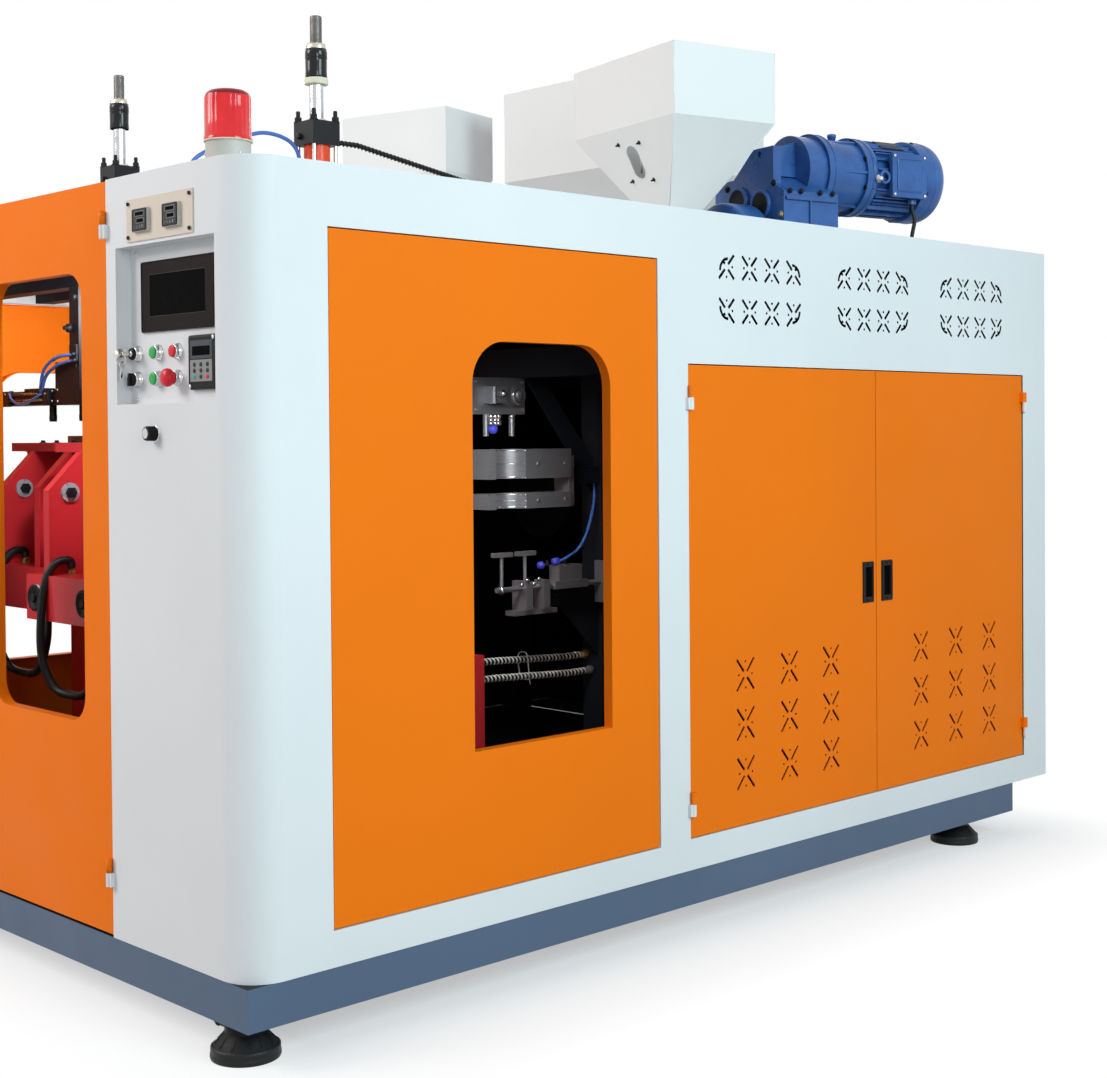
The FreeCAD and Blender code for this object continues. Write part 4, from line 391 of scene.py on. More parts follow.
    def ring(self, place, radius, wire, axis="Z", steps=32, material=None, start=0.0, turn=1.0):
        """A round wire bent into a ring, or into part of one."""
        matrix = Matrix.Translation(self.spot(place)) @ turn_to(axis)
        path = [matrix @ mm(radius * math.cos(angle), radius * math.sin(angle), 0)
                for angle in (2 * math.pi * (start + turn * step / steps)
                              for step in range(steps + 1))]
        return self.tube(path, wire, 10, material)

    def rim(self, low, high, radius, wire, steps=8, material=None):
        """A wire round an upright rectangle, given by two corners, with its corners rounded."""
        corners = [self.spot(corner) for corner in (low, (high[0], high[1], low[2]), high,
                                                    (low[0], low[1], high[2]))]
        path = []
        for number, corner in enumerate(corners):
            back = (corners[number - 1] - corner).normalized() * radius * MM
            ahead = (corners[(number + 1) % 4] - corner).normalized() * radius * MM
            for t in (0, 0.2, 0.4, 0.6, 0.8, 1):
                path.append(corner + back * (1 - t) ** 2 + ahead * t ** 2)
        return self.tube(path + path[:1], wire, steps, material)

    def done(self, *replaced, matrix=None):
        if matrix is not None:
            self.mesh.transform(matrix)
        data = bpy.data.meshes.new(self.name)
        bmesh.ops.recalc_face_normals(self.mesh, faces=list(self.mesh.faces))
        self.mesh.to_mesh(data)
        self.mesh.free()
        for name in self.names:
            data.materials.append(MATERIALS[name])
        item = bpy.data.objects.new(self.name, data)
        scene.collection.objects.link(item)
        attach(item, self.body)
        if replaced:
            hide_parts(*replaced)
        return item


def turn_to(axis):
    """The turn from the Z axis to a named axis or to a vector."""
    if not isinstance(axis, str):
        return Vector((0, 0, 1)).rotation_difference(axis).to_matrix().to_4x4()
    quarters, about = {"Z": (0, "X"), "-Z": (2, "X"), "X": (1, "Y"), "-X": (-1, "Y"),
                       "Y": (-1, "X"), "-Y": (1, "X")}[axis]
    return Matrix.Rotation(math.pi / 2 * quarters, 4, about)


def framed(path):
    """Each point of a path with two unit vectors across it, carried along without twist."""
    ways = [(after - before).normalized() for before, after in zip(path, path[1:])]
    ways.append(ways[-1])
    side = ways[0].orthogonal().normalized()
    frames = []
    for place, way in zip(path, ways):
        side = (side - way * side.dot(way)).normalized()
        frames.append((place, side, way.cross(side)))
    return frames


def spline(points, steps):
    """A smooth path through the points."""
    ends = [2 * points[0] - points[1], *points, 2 * points[-1] - points[-2]]
    path = []
    for a, b, c, d in zip(ends, ends[1:], ends[2:], ends[3:]):
        for step in range(steps):
            t = step / steps
            path.append(0.5 * (2 * b + (c - a) * t + (2 * a - 5 * b + 4 * c - d) * t * t
                               + (3 * b - a - 3 * c + d) * t ** 3))
    path.append(points[-1])
    return path


def bent(places, bend, steps=8):
    """Straight runs joined by tangent arcs, as the hoses are laid."""
    points = [at(*place) for place in places]
    path = [points[0]]
    for before, corner, after in zip(points, points[1:], points[2:]):
        back, ahead = (before - corner).normalized(), (after - corner).normalized()
        half = back.angle(ahead) / 2
        centre = corner + (back + ahead).normalized() * bend * MM / math.sin(half)
        start = corner + back * bend * MM / math.tan(half) - centre
        end = corner + ahead * bend * MM / math.tan(half) - centre
        axis, sweep = start.cross(end).normalized(), start.angle(end)
        path += [centre + Matrix.Rotation(sweep * step / steps, 3, axis) @ start
                 for step in range(steps + 1)]
    path.append(points[-1])
    return path


# ---- dressing the CAD nodes ---------------------------------------------------------------

def dress(node, *names, choose=lambda middle, normal: 0):
    """Gives a CAD node its materials; choose picks one for each face by its middle and normal."""
    mesh = nodes[node].data
    mesh.materials.clear()
    for name in names:
        mesh.materials.append(MATERIALS[name])
    for face in mesh.polygons:
        face.material_index = int(choose(face.center, face.normal))


def along(x):
    return at(x, 0, 0).x


def level(z):
    return at(0, 0, z).z


def dress_all():
    slots = {part["node"]: part["material_slot"] for part in frame["record"]["subparts"]}
    for node in nodes:
        dress(node, slots[node])

    def inner_side(middle, normal):
        inward = normal.y > 0.5 if middle.y < 0 else normal.y < -0.5
        return middle.x > along(1240) and (inward or normal.x < -0.5)

    def tie_rods(middle, normal):
        return level(1681) < middle.z < level(1871)

    def glass(middle, normal):
        return (normal.x < -0.5 and middle.x > along(33.4)
                and level(1388) < middle.z < level(1481))

    # first the material of the node's most faces, then that of the chosen ones
    for node, most, chosen, choose in (
            # the base frame's upward faces take the near black frame colour as painted shade
            # under the shell
            ("base_frame", "base_paint", "frame_paint", lambda m, n: n.z > 0.5),
            # the shells' inner faces, the roof's underside and the rear panel's inner face take a
            # near black of painted shade
            ("right_shell", "white_paint", "lining", inner_side),
            ("left_shell", "white_paint", "lining", inner_side),
            ("roof_panel", "white_paint", "lining", lambda m, n: n.z < -0.5),
            ("rear_panel", "white_paint", "lining", lambda m, n: n.x < -0.5),
            ("cylinder_ends", "black_metal", "chrome", tie_rods),
            ("operator_screen", "bezel", "screen_glass", glass),
            ("button_collars", "chrome", "black_plastic", lambda m, n: m.x > along(39.9)),
            ("controller_plate", "cream_paint", "tool_steel", lambda m, n: m.x < along(-3.1)),
            ("speed_knob", "black_plastic", "chrome", lambda m, n: m.x < along(-22.5)),
            ("key_switch", "black_plastic", "chrome", lambda m, n: m.x < along(20)),
            ("temperature_controllers", "grey_plastic", "grey_plastic", lambda m, n: False),
            ("levelling_feet", "cast_steel", "black_rubber", lambda m, n: m.z < 0.0235),
            ("beacon_base", "grey_plastic", "chrome", lambda m, n: m.z > level(1757.2)),
            # below a height, what stands inside the cabinet is painted near black: painted shade
            ("extruder_barrels", "base_paint", "frame_paint", lambda m, n: m.z < level(1530)),
            ("gear_motors", "motor_paint", "lining", lambda m, n: m.z < level(1475)),
            ("gearboxes", "motor_paint", "lining", lambda m, n: m.z < level(1475))):
        dress(node, *dict.fromkeys((most, chosen)), choose=choose)
    dress_rods()
    dress_platens()


def dress_rods():
    """Rod and nut bright, sleeve black, thread grey, and the buffer ring cream."""
    thread, nut, sleeve, ring = map(level, (2134.1, 2120.9, 2045.9, 2029.9))
    for side, station in STATIONS.items():
        centre = at(ROD_X, station, 0)

        def part(middle, normal):
            wide = math.hypot(middle.x - centre.x, middle.y - centre.y) > 19 * MM
            if middle.z > thread:
                return 2
            if middle.z > nut or not wide:
                return 0
            return 1 if middle.z > sleeve else 3 if middle.z > ring else 0

        dress(f"blow_rod_{side}", "chrome", "black_rubber", "thread_steel", "cream_ring",
              choose=part)


def dress_platens():
    """The washers of tie bars and link pins are bright, and the pins' heads dark."""
    bar, pin, bar_side, pin_side = level(700), level(978), 0.130, 0.105
    bar_radius, bar_washer, pin_radius = 0.0252, 0.0365, 0.027
    # how far a link's cheek, its washer and its pin's head reach from the link's middle
    cheek, washer, head = 0.0151, 0.0215, 0.032
    for end, (side, station) in product(("front", "rear"), CLAMPS.items()):
        centre = at(0, station, 0).y

        def part(middle, normal):
            side = abs(middle.y - centre)
            reach = math.hypot(side - bar_side, middle.z - bar)
            if end == "front" and (reach < bar_radius
                                   or reach < bar_washer and middle.x < along(348.5)):
                return 1
            aside = abs(side - pin_side)
            if cheek < aside < head and abs(middle.z - pin) < pin_radius:
                return 2 if aside > washer else 1
            return 0

        dress(f"platen_{end}_{side}", "red_paint", "washer_steel", "cast_steel", choose=part)


# ---- beacon and blow cylinders --------------------------------------------------------------

def beacon():
    """The ribbed dome with its dark cap, and the trim of its base."""
    x, y, z = 109, 208, 1757
    lens = Piece("beacon_lens", "beacon_red")
    rings = []
    for radius, height in ((51.8, 0), (51.8, 8), (49.6, 9), (49.6, 88), (48.5, 95),
                           (45.5, 101), (40, 105.5), (30, 108), (14, 108.9)):
        rib = 0.5 if 8.5 < height < 96 else 0
        rings.append([at(x, y, z) + mm((radius + rib * math.cos(turn * 24)) * math.cos(turn),
                                       (radius + rib * math.cos(turn * 24)) * math.sin(turn),
                                       height) for turn in circle(144)])
    lens.loft(rings[:5], smooth=True)
    lens.loft([*rings[4:], [at(x, y, z + 109)]], "beacon_cap", True)
    bmesh.ops.remove_doubles(lens.mesh, verts=list(lens.mesh.verts), dist=1e-6)
    lens.done("beacon_dome")
    trim = Piece("beacon_trim", "grey_plastic")
    trim.lathe((48.7, -3, 52, -3, 52.2, 0, 48.7, 0.2), (x, y, z), steps=64,
               material="cream_ring")
    trim.lathe((51.7, -56.8, 53, -56.8, 53, -53, 51.7, -52), (x, y, z), steps=64)
    for turn in circle(3):
        out = Vector((math.cos(turn + 0.5), math.sin(turn + 0.5), 0))
        trim.screw((2.8, 2.5, 1.4, 1.6), at(x, y, z - 30) + 0.0484 * out, out, 16)
    trim.done()


def rods():
    """Thread, wrapped sleeve and nut of each blow rod, and the buffer ring of the right one."""
    for side, y in STATIONS.items():
        body = f"rod_{side}"
        thread = Piece(f"rod_thread_{side}", "chrome", body)
        thread.wound([(ROD_X, y, 2134 + step) for step in range(0, 70, 6)], 14.8, 0.9, 3, 6, 20,
                     "thread_steel")
        thread.lathe((15.2, 0, 13.8, 2.5, 0, 2.8), (ROD_X, y, 2203.4), material="thread_steel")
        thread.done()
        sleeve = Piece(f"rod_sleeve_{side}", "black_rubber", body)
        sleeve.lathe((19, 0, 27.7, 0, 28.4, 4, 27.9, 20, 28.3, 40, 27.9, 50, 28.7, 52.5, 28.8, 66,
                      27.9, 73, 19, 75.5), (ROD_X, y, 2046), "Z", 40, "tape_black")
        sleeve.ring((ROD_X, y, 2097.5), 28.3, 0.9, "Z", 40, "tape_black")
        sleeve.lathe((26.5, 0, 26.6, 9, 23.5, 13.5, 18.8, 13.6), (ROD_X, y, 2121), "Z", 40,
                     "zinc")
        sleeve.done()
        if side == "right":
            ring = Piece("rod_buffer", "cream_paint", body)
            ring.lathe((30, 0.5, 30.3, 4, 30.3, 13, 29.7, 15.8), (ROD_X, y, 2030), "Z", 40,
                       "cream_ring")
            ring.done()


def cylinders():
    """Studs with their nuts on the heads, the rod bushes and the port fittings."""
    piece = Piece("cylinder_fittings", "black_metal")
    for station in STATIONS.values():
        for aside, across in product((-34, 34), repeat=2):
            x, y = ROD_X + aside, station + across
            piece.plug((11.2, 0, 11.2, 2), (x, y, 1933), steps=20)
            piece.hexagon(10, 11, (x, y, 1935))
            piece.lathe((5.4, 10, 5.6, 27, 4.6, 29, 0, 29), (x, y, 1933), steps=16)
            piece.wound([(x, y, 1946 + 2.5 * step) for step in range(6)], 5.4, 0.5, 1.6, 4)
            piece.hexagon(9, 7, (x, y, 1687), material="chrome")
        piece.lathe((18.7, 0, 29, 0, 29, 4, 25, 7, 18.7, 7), (ROD_X, station, 1933),
                    material="cream_ring")
        piece.block((657.2, station - 41.8, 1899), (740.8, station + 41.8, 1900.5), 0.4)
        piece.plug((9.5, 0, 9.5, 6, 7, 8, 7, 18), (741, station, 1888), "X", 18, "brass")
        piece.screw((8.5, 8.5, 10, 11), (657, station + 15, 1895), "-X", 6, None, False)
    piece.done()


def air_line():
    """The blue air hose, from its hole in the roof behind the beacon to the right cylinder."""
    piece = Piece("air_line", "blue_hose")
    y = 712
    piece.hose([(x, y, z) for x, z in (
        (318, 1701), (322, 1752), (339, 1798), (376, 1826), (440, 1858), (509, 1883),
        (553, 1892), (603, 1887), (638, 1870), (655, 1838), (656, 1780), (652, 1726))], 5.2, 14)
    piece.plug((10.5, 0, 10.5, 6, 7, 9), (318, y, 1700), "Z", 18, "black_metal")
    piece.plug((9.2, -26, 9.2, 4, 6.2, 9), (652, y, 1726), "Z", 18, "black_metal")
    piece.done("air_hose")


def roof_hoses():
    """The spiral wrap of the cylinder hose and the supply cables of the two side motors."""
    piece = Piece("hose_wrap", "black_rubber")

    y, bend = STATIONS["right"], 60

    def route(start, end):
        return bent([(start, y, 1888), (830, y, 1888), (1430, y, 1794), (1430, y, end)], bend)

    piece.tube(route(741, 1700), 5)
    piece.wound(route(764, 1708), 6, 2.3, 12.5, 6, 14)
    piece.plug((10.5, 0, 10.5, 6, 7.5, 10), (1430, y, 1700), "Z", 20, "black_metal")
    for side in DRIVES:
        cable = [drive_frame(side) @ mm(*place) for place in (
            (788, -128, 1809), (789, -129, 1790), (795, -133, 1760), (790, -130, 1725),
            (786, -128, 1700))]
        piece.hose(cable, 6, run=10)
        piece.plug((10.5, 0, 10, 7, 6.8, 10), cable[-1], "Z", 16, "black_metal")
    piece.done("black_hoses")


# ---- hoppers and drives ---------------------------------------------------------------------

def drive_frame(side):
    """The frame that a side extruder is laid out in, along X from its hopper's axis."""
    x, y, yaw = DRIVES[side]
    return Matrix.Translation(at(x, y, 0)) @ Matrix.Rotation(math.radians(yaw), 4, "Z")


def hopper_shell(piece, loop, normal):
    """The right hopper's sheet, with the slot through its front slope."""
    part = bmesh.new()
    skins = []
    for thin in (0, SHEET):
        rim, knee, foot = (
            [part.verts.new(mm(x * (length - thin), y * (width - thin), height))
             for x, y in ((-1, -1), (1, -1), (1, 1), (-1, 1))]
            for length, width, height in ((170, 251, HOPPER_RIM),
                                          (170, 251, HOPPER_RIM - HOPPER_WALL),
                                          (45, 45, HOPPER_FOOT)))
        hole = [part.verts.new(point - normal * thin * MM) for point in loop]
        strip(part, rim, knee)
        for number in range(3):
            part.faces.new((knee[number], knee[number + 1], foot[number + 1], foot[number]))
        fill(part, [knee[3], knee[0], foot[0], foot[3]], hole)
        skins.append((rim, foot, hole))
    for first, second in zip(*skins):
        strip(part, first, second)
    bmesh.ops.recalc_face_normals(part, faces=list(part.faces))
    piece.merge(part)


def hoppers():
    """The right hopper with its sight slot and studs, and the seams of the sheets."""
    piece = Piece("sight_slot", "hopper_paint", origin=mm)
    rise, run, middle = HOPPER_RIM - HOPPER_WALL - HOPPER_FOOT, 125, 1883
    normal = Vector((-rise, 0, -run)).normalized()
    slope = Vector((-run, 0, rise)).normalized()
    spin = Matrix((Vector((0, 1, 0)), slope, normal)).transposed().to_4x4()
    spin.translation = mm(-45 - run * (middle - HOPPER_FOOT) / rise, 0, middle)
    slot = [mm(27 * math.cos(turn),
               27 * math.sin(turn) + math.copysign(23, math.sin(turn) + 1e-9), 0)
            for turn in circle(32)]
    hopper_shell(piece, [spin @ point for point in slot], normal)
    piece.tube([spin @ (point + mm(0, 0, 0.4)) for point in slot + slot[:1]], 1.2, 6)
    # behind the slot a level bar shows aslant
    piece.tube([spin @ mm(-16, 12, -12), spin @ mm(12, -36, -12)], 2.8, 10, "chrome")
    for x, y in product((-1, 1), repeat=2):
        piece.plug((6, 0, 5.5, 2.4, 2.6, 3, 2.6, 10), spin @ mm(x * 49, y * 55 + x * 4, 0),
                   normal, 14, "black_metal")
    piece.done("hopper_right", matrix=drive_frame("right"))
    seams = Piece("hopper_seams", "hopper_paint")
    for place, length, width, rim, wall in (
            (drive_frame("right"), 340, 502, HOPPER_RIM, HOPPER_WALL),
            (drive_frame("left"), 290, 460, 2275, 223),
            (Matrix.Translation(at(2387, 1163, 0)), 626, 640, 2300, 304)):
        for x, y in ((-1, -1), (1, -1), (1, 1), (-1, 1)):
            out = x * (length / 2 - 0.8), y * (width / 2 - 0.8)
            seams.tube([place @ mm(*out, rim - 0.6), place @ mm(*out, rim - wall),
                        place @ mm(x * 44.4, y * 44.4, 1726)], 1.6, 6)
    seams.done()


def drives():
    for side in DRIVES:
        piece = Piece(f"drive_details_{side}", "motor_paint", origin=mm)
        gear_case(piece)
        bell(piece)
        motor(piece)
        piece.done(matrix=drive_frame(side))


def gear_case(piece):
    for y, z in ((43, 1800), (-64, 1780)):
        piece.lathe((43.2, -0.2, 44.5, 0, 44.5, 10.2, 40, 11.6, 36.5, 11.2, 35.2, 9.6),
                    (270, y, z), "-X", 40)
        piece.lathe((35.2, 9.4, 0, 9.4), (270, y, z), "-X", 40, "cast_steel")
    # the joint flange round the case, its bolts, and an upright rib on either side
    for y, out, axis in ((-165, -1, "-Y"), (160, 1, "Y")):
        piece.block((276, y, 1786), (464, y + out * 5, 1798), 2)
        piece.block((362, y, 1500), (368, y + out * 5, 1788), 1.5)
        for x in (290, 330, 400, 446):
            piece.bolt(5.5, (x, y + out * 2, 1812), axis)
    piece.block((265.5, -160, 1704), (270.5, 155, 1716), 2)
    piece.bolt(6.5, (270, -150, 1745), "-X", "brass")
    for y, z in ((-118, 1838), (100, 1845), (145, 1745), (-8, 1742)):
        piece.bolt(6.5, (270, y, z), "-X")
    # lifting lug: a ring round its eye, and the rib from it to the bell
    piece.ring((269.8, -53, 1928), 10.5, 2.2, "X", 24)
    piece.loft([[mm(298, -70, 1868), mm(298, -46, 1868), mm(392, -46, 1868), mm(392, -70, 1868)],
                [mm(298, -64, 1940), mm(298, -52, 1940), mm(392, -52, 1972),
                 mm(392, -64, 1972)]], capped=True)


def bell(piece):
    """The bell between gear case and motor: rolled edges, bolts, webs and the lifting boss."""
    for x in (459, 481, 604, 626):
        piece.ring((x, DRIVE_Y, DRIVE_Z), 115, 2.2, "X", 48)
    for turn in circle(8):
        y = DRIVE_Y + 110 * math.cos(turn + math.pi / 8)
        z = DRIVE_Z + 110 * math.sin(turn + math.pi / 8)
        for x, axis in ((605, "-X"), (625, "X")):
            piece.screw((7.5, 7.5, 6, 6.2), (x, y, z), axis, 6, "cast_steel", False)
    for turn in circle(6):
        piece.loft([[mm(x, DRIVE_Y + radius * math.cos(turn) - aside * math.sin(turn),
                        DRIVE_Z + radius * math.sin(turn) + aside * math.cos(turn))
                     for x, radius in ((500, 105), (606, 105), (606, 113))]
                    for aside in (-3, 3)], capped=True)
    piece.plug((12, 0, 12, 12, 13.5, 13, 13.5, 21, 11.5, 23), (560, DRIVE_Y, 1990), "Z", 20)


def motor(piece):
    def round_axis(x, angle, lift):
        return (Matrix.Translation(mm(x, DRIVE_Y, DRIVE_Z)) @ Matrix.Rotation(angle, 4, "X")
                @ Matrix.Translation((0, 0, lift * MM)))

    for turn in circle(30):
        # the terminal box stands where the fins leave off
        if not 165 < math.degrees(turn) < 216:
            fin = bmesh.new()
            bmesh.ops.create_cube(fin, size=1)
            fin.transform(Matrix.Diagonal((0.165, 0.0036, 0.014, 1)))
            piece.merge(fin, matrix=round_axis(733, turn - math.pi / 2, 106))
    piece.lathe((99, 0, 115.5, 0, 116.5, 4, 116.5, 14, 110, 20, 99, 21),
                (626, DRIVE_Y, DRIVE_Z), "X", 64)
    hood = [122.2, 0, 122.8, 2, 122.8, 48]
    for step in range(1, 13):
        share = math.sin(math.pi / 2 * step / 12)
        hood += (122.8 * (1 - share ** 3) ** (1 / 3), 48 + 62 * share)
    piece.lathe(hood, (820, DRIVE_Y, DRIVE_Z), "X", 64)
    piece.ring((866, DRIVE_Y, DRIVE_Z), 122.6, 1.4, "X", 64)
    for turn in (0.4, 1.97, 3.54, 5.11):
        out = Vector((0, math.cos(turn), math.sin(turn)))
        piece.screw((6, 5.5, 3, 4), mm(834, DRIVE_Y, DRIVE_Z) + 0.1226 * out, out, 12,
                    "cast_steel")
    # eye bolt on the near side, and a bare plate on the top
    piece.plug((12.5, 0, 12.5, 10, 6, 14, 6, 20), (640, -143, 1872), "-Y", 18, "chrome")
    piece.ring((661, -152, 1878), 16.5, 4.8, "Y", 28)
    piece.block((-43, -26, -4), (43, 26, 0), 0.8, "key_dark",
                round_axis(733, math.radians(30), 113.5))
    # the collar of the thrust housing, whose upper arc shows over the roof's edge
    piece.lathe((111, 0, 138, 0, 146, 10, 146, 90, 138, 100, 111, 100), (152, -6, 1640), "X", 64)
    # terminal box: the pressed field of its lid, corner screws and the gland
    piece.rim((702, -162.4, 1839), (800, -162.4, 1935), 8, 2.2)
    piece.block((704, -163.2, 1841), (798, -161, 1933))
    for x, z in product((691, 809), (1829, 1943)):
        piece.screw((4.8, 4.4, 2.6, 3.2), (x, -162, z), "-Y")
    piece.hexagon(14.5, 10, (788, -128, 1829), "-Z", "black_metal")


def underside():
    """The sheet that closes the rear overhang from below."""
    piece = Piece("rear_underside", "base_paint")
    piece.block((2903, 42, 0.5), (3096, 2338, 2.5), 0)
    piece.done()


# ---- the operator's panel -----------------------------------------------------------------

def dome_cap(piece, place, radius, rise, material=None):
    """A slightly domed cap whose face looks forward."""
    edge = 0.8
    profile = [radius, 0, radius, edge]
    for step in range(1, 6):
        turn = math.pi / 2 * step / 6
        profile += (radius * math.cos(turn), edge + rise * math.sin(turn))
    piece.lathe([*profile, 0, edge + rise], place, "-X", 36, material)


def panel():
    """What is turned or pressed: caps, stop, selector, key and knob, with their collars."""
    left, middle, right, upper, lower = 465, 380, 301, 1309, 1252
    for body, across, height, colour in (("green_upper", middle, upper, "button_green"),
                                         ("green_lower", middle, lower, "button_green"),
                                         ("red", right, upper, "button_red")):
        cap = Piece(f"cap_{body}", colour, body)
        dome_cap(cap, (21.6, across, height), 12.8, 1.6)
        cap.done()
    stop = Piece("stop_head", "button_red", "stop")
    stop.lathe((0, 16.5, 8, 15.8, 14.5, 13.5, 18.8, 9.5, 20.2, 4.5, 19.6, -1, 16, -4.5,
                12.5, -4.8), (14, right, lower), "-X", 40)
    stop.lathe((12.5, -4.8, 12.5, -22), (14, right, lower), "-X")
    for number in range(3):
        stop.ring((1.2, right, lower), 10.5, 0.7, "X", 8, "cream_ring", number / 3 + 0.04, 0.18)
    stop.done("emergency_stop")
    lever = Piece("selector_lever", "black_plastic", "selector")
    lever.block((10.2, 461.5, 1237.8), (23, 468.5, 1266.2), 2.5)
    lever.lathe((12.9, 0, 12.9, 3, 10.5, 5, 0, 5.2), (22.5, left, lower), "-X")
    lever.block((9.9, 464.4, 1258), (10.8, 465.6, 1265.5), 0.3, "cream_ring")
    lever.done()
    keys(left, upper)
    collars = Piece("collar_rims", "chrome")
    for across, height in product((left, middle, right), (upper, lower)):
        collars.lathe((13.02, 0.2, 13.1, 1, 14.2, 1.3, 15.4, 0.4, 15.7, -1.5, 15.7, -9.5,
                       17.8, -10.5, 18.4, -12.5), (25, across, height), "-X", 40)
    collars.done()
    screen()
    keypad()
    controllers()
    knob = Piece("knob_ribs", "black_plastic", "knob")
    for turn in circle(18):
        y, z = 337 + 15 * math.cos(turn), 1132 + 15 * math.sin(turn)
        knob.tube([(-1.2, y, z), (-19.7, y, z)], 1.1, 6)
    knob.lathe((18.2, 0, 18.2, 0.9, 15, 1.4, 15, 0), (0, 337, 1132), "-X", 36, "chrome")
    knob.done()


def keys(across, height):
    """The key in the switch, its ring and the spare key that hangs from it."""
    piece = Piece("key_bunch", "chrome", "key")
    piece.lathe((12.9, 0, 12.9, 4, 11.6, 5.6, 0, 5.8), (23.5, across, height), "-X", 32,
                "black_plastic")
    piece.lathe((6.6, 0, 6.6, 1.2, 0, 1.4), (17.9, across, height), "-X", 24)
    piece.ring((-6, 464, 1296), 10.5, 0.8, Vector((0.35, 1, 0.15)), 28)
    spin = (Matrix.Translation(at(-4, 464, 1279)) @ Matrix.Rotation(0.5, 4, "Z")
            @ Matrix.Rotation(math.pi * 1.05, 4, "Y"))
    outline = ((-9, 0), (-10, -6), (-6, -12), (0, -14), (6, -12), (10, -6), (9, 0), (4, 3),
               (3.4, 22), (1.5, 26), (-1, 24), (-3.4, 22), (-4, 3))
    piece.loft([[spin @ mm(x, aside, z) for x, z in outline] for aside in (-0.9, 0.9)],
               capped=True)
    piece.plug((10.5, -1.2, 11.2, 0, 10.5, 1.2), (-9, across, height), "Y", 24, "zinc")
    piece.block((-3, 463.6, 1305), (18, 466.4, 1313), 0.8, "zinc")
    piece.done()


def screen():
    piece = Piece("screen_frame", "black_plastic")
    piece.rim((33, 151, 1356.5), (33, 441, 1508.5), 6, 1.6, 8, "bezel")
    piece.rim((33.1, 184, 1388.5), (33.1, 408, 1480.5), 2, 0.7, 6, "key_dark")
    for y, z in ((470, 1533), (130, 1533), (470, 1207)):
        piece.screw((4.2, 3.8, 1.8, 2.2), (38, y, z))
    piece.done()


def keypad():
    """A black case with a dark display field, a grey membrane with nine keys, two screws."""
    piece = Piece("keypad_face", "black_plastic")
    for y0, y1, z0, z1, front, material, bevel in (
            (137, 245, 1224, 1340, 26, "black_plastic", 5),
            (150, 234, 1289, 1328, 25.4, "key_blue", 0.6),
            (158, 226, 1296, 1316, 24.8, "screen_glass", 0.8),
            (150, 234, 1241, 1287, 25.2, "key_grey", 0.6)):
        piece.block((front, y0, z0), (38, y1, z1), bevel, material)
    for y, corner in ((167, "button_red"), (192, "key_dark"), (217, "key_teal")):
        for z, material in ((1251, corner), (1264, "key_dark"), (1277, "key_dark")):
            dome_cap(piece, (25.2, y, z), 4.8, 0.9, material)
    for y, z in ((146, 1333), (236, 1231)):
        piece.screw((5.2, 4.7, 1.8, 2.4), (26, y, z), steps=16)
    piece.done("inverter_keypad")


def controllers():
    """Two displays and a row of keys on each controller, and the screws of their plate."""
    piece = Piece("controller_faces", "black_plastic")
    for first in (219, 342):
        piece.rim((-11, first + 2, 1572), (-11, first + 60, 1618), 3, 1.2, 6)
        for front, back, y0, y1, z0, z1, material, bevel in (
                (-11.9, -10.9, 4, 58, 1573, 1617, "key_dark", 0.4),
                (-12.3, -11.8, 10, 50, 1602, 1614, "pane", 0.4),
                (-12.4, -12, 13, 47, 1604, 1612, "screen_glass", 0.2),
                (-12.3, -11.8, 10, 44, 1587, 1599, "pane", 0.4),
                (-12.4, -12, 13, 41, 1589, 1597, "screen_glass", 0.2),
                *((-12.6, -11.5, y, y + 8, 1575, 1583, "key_blue", 0.8)
                  for y in (9, 20.5, 32, 43.5))):
            piece.block((front, first + y0, z0), (back, first + y1, z1), bevel, material)
    for y, z in product((184, 431), (1561, 1634)):
        piece.screw((4.6, 4.2, 1.6, 2.2), (-5, y, z), material="cast_steel")
    piece.done()


# ---- inside the two windows -----------------------------------------------------------------

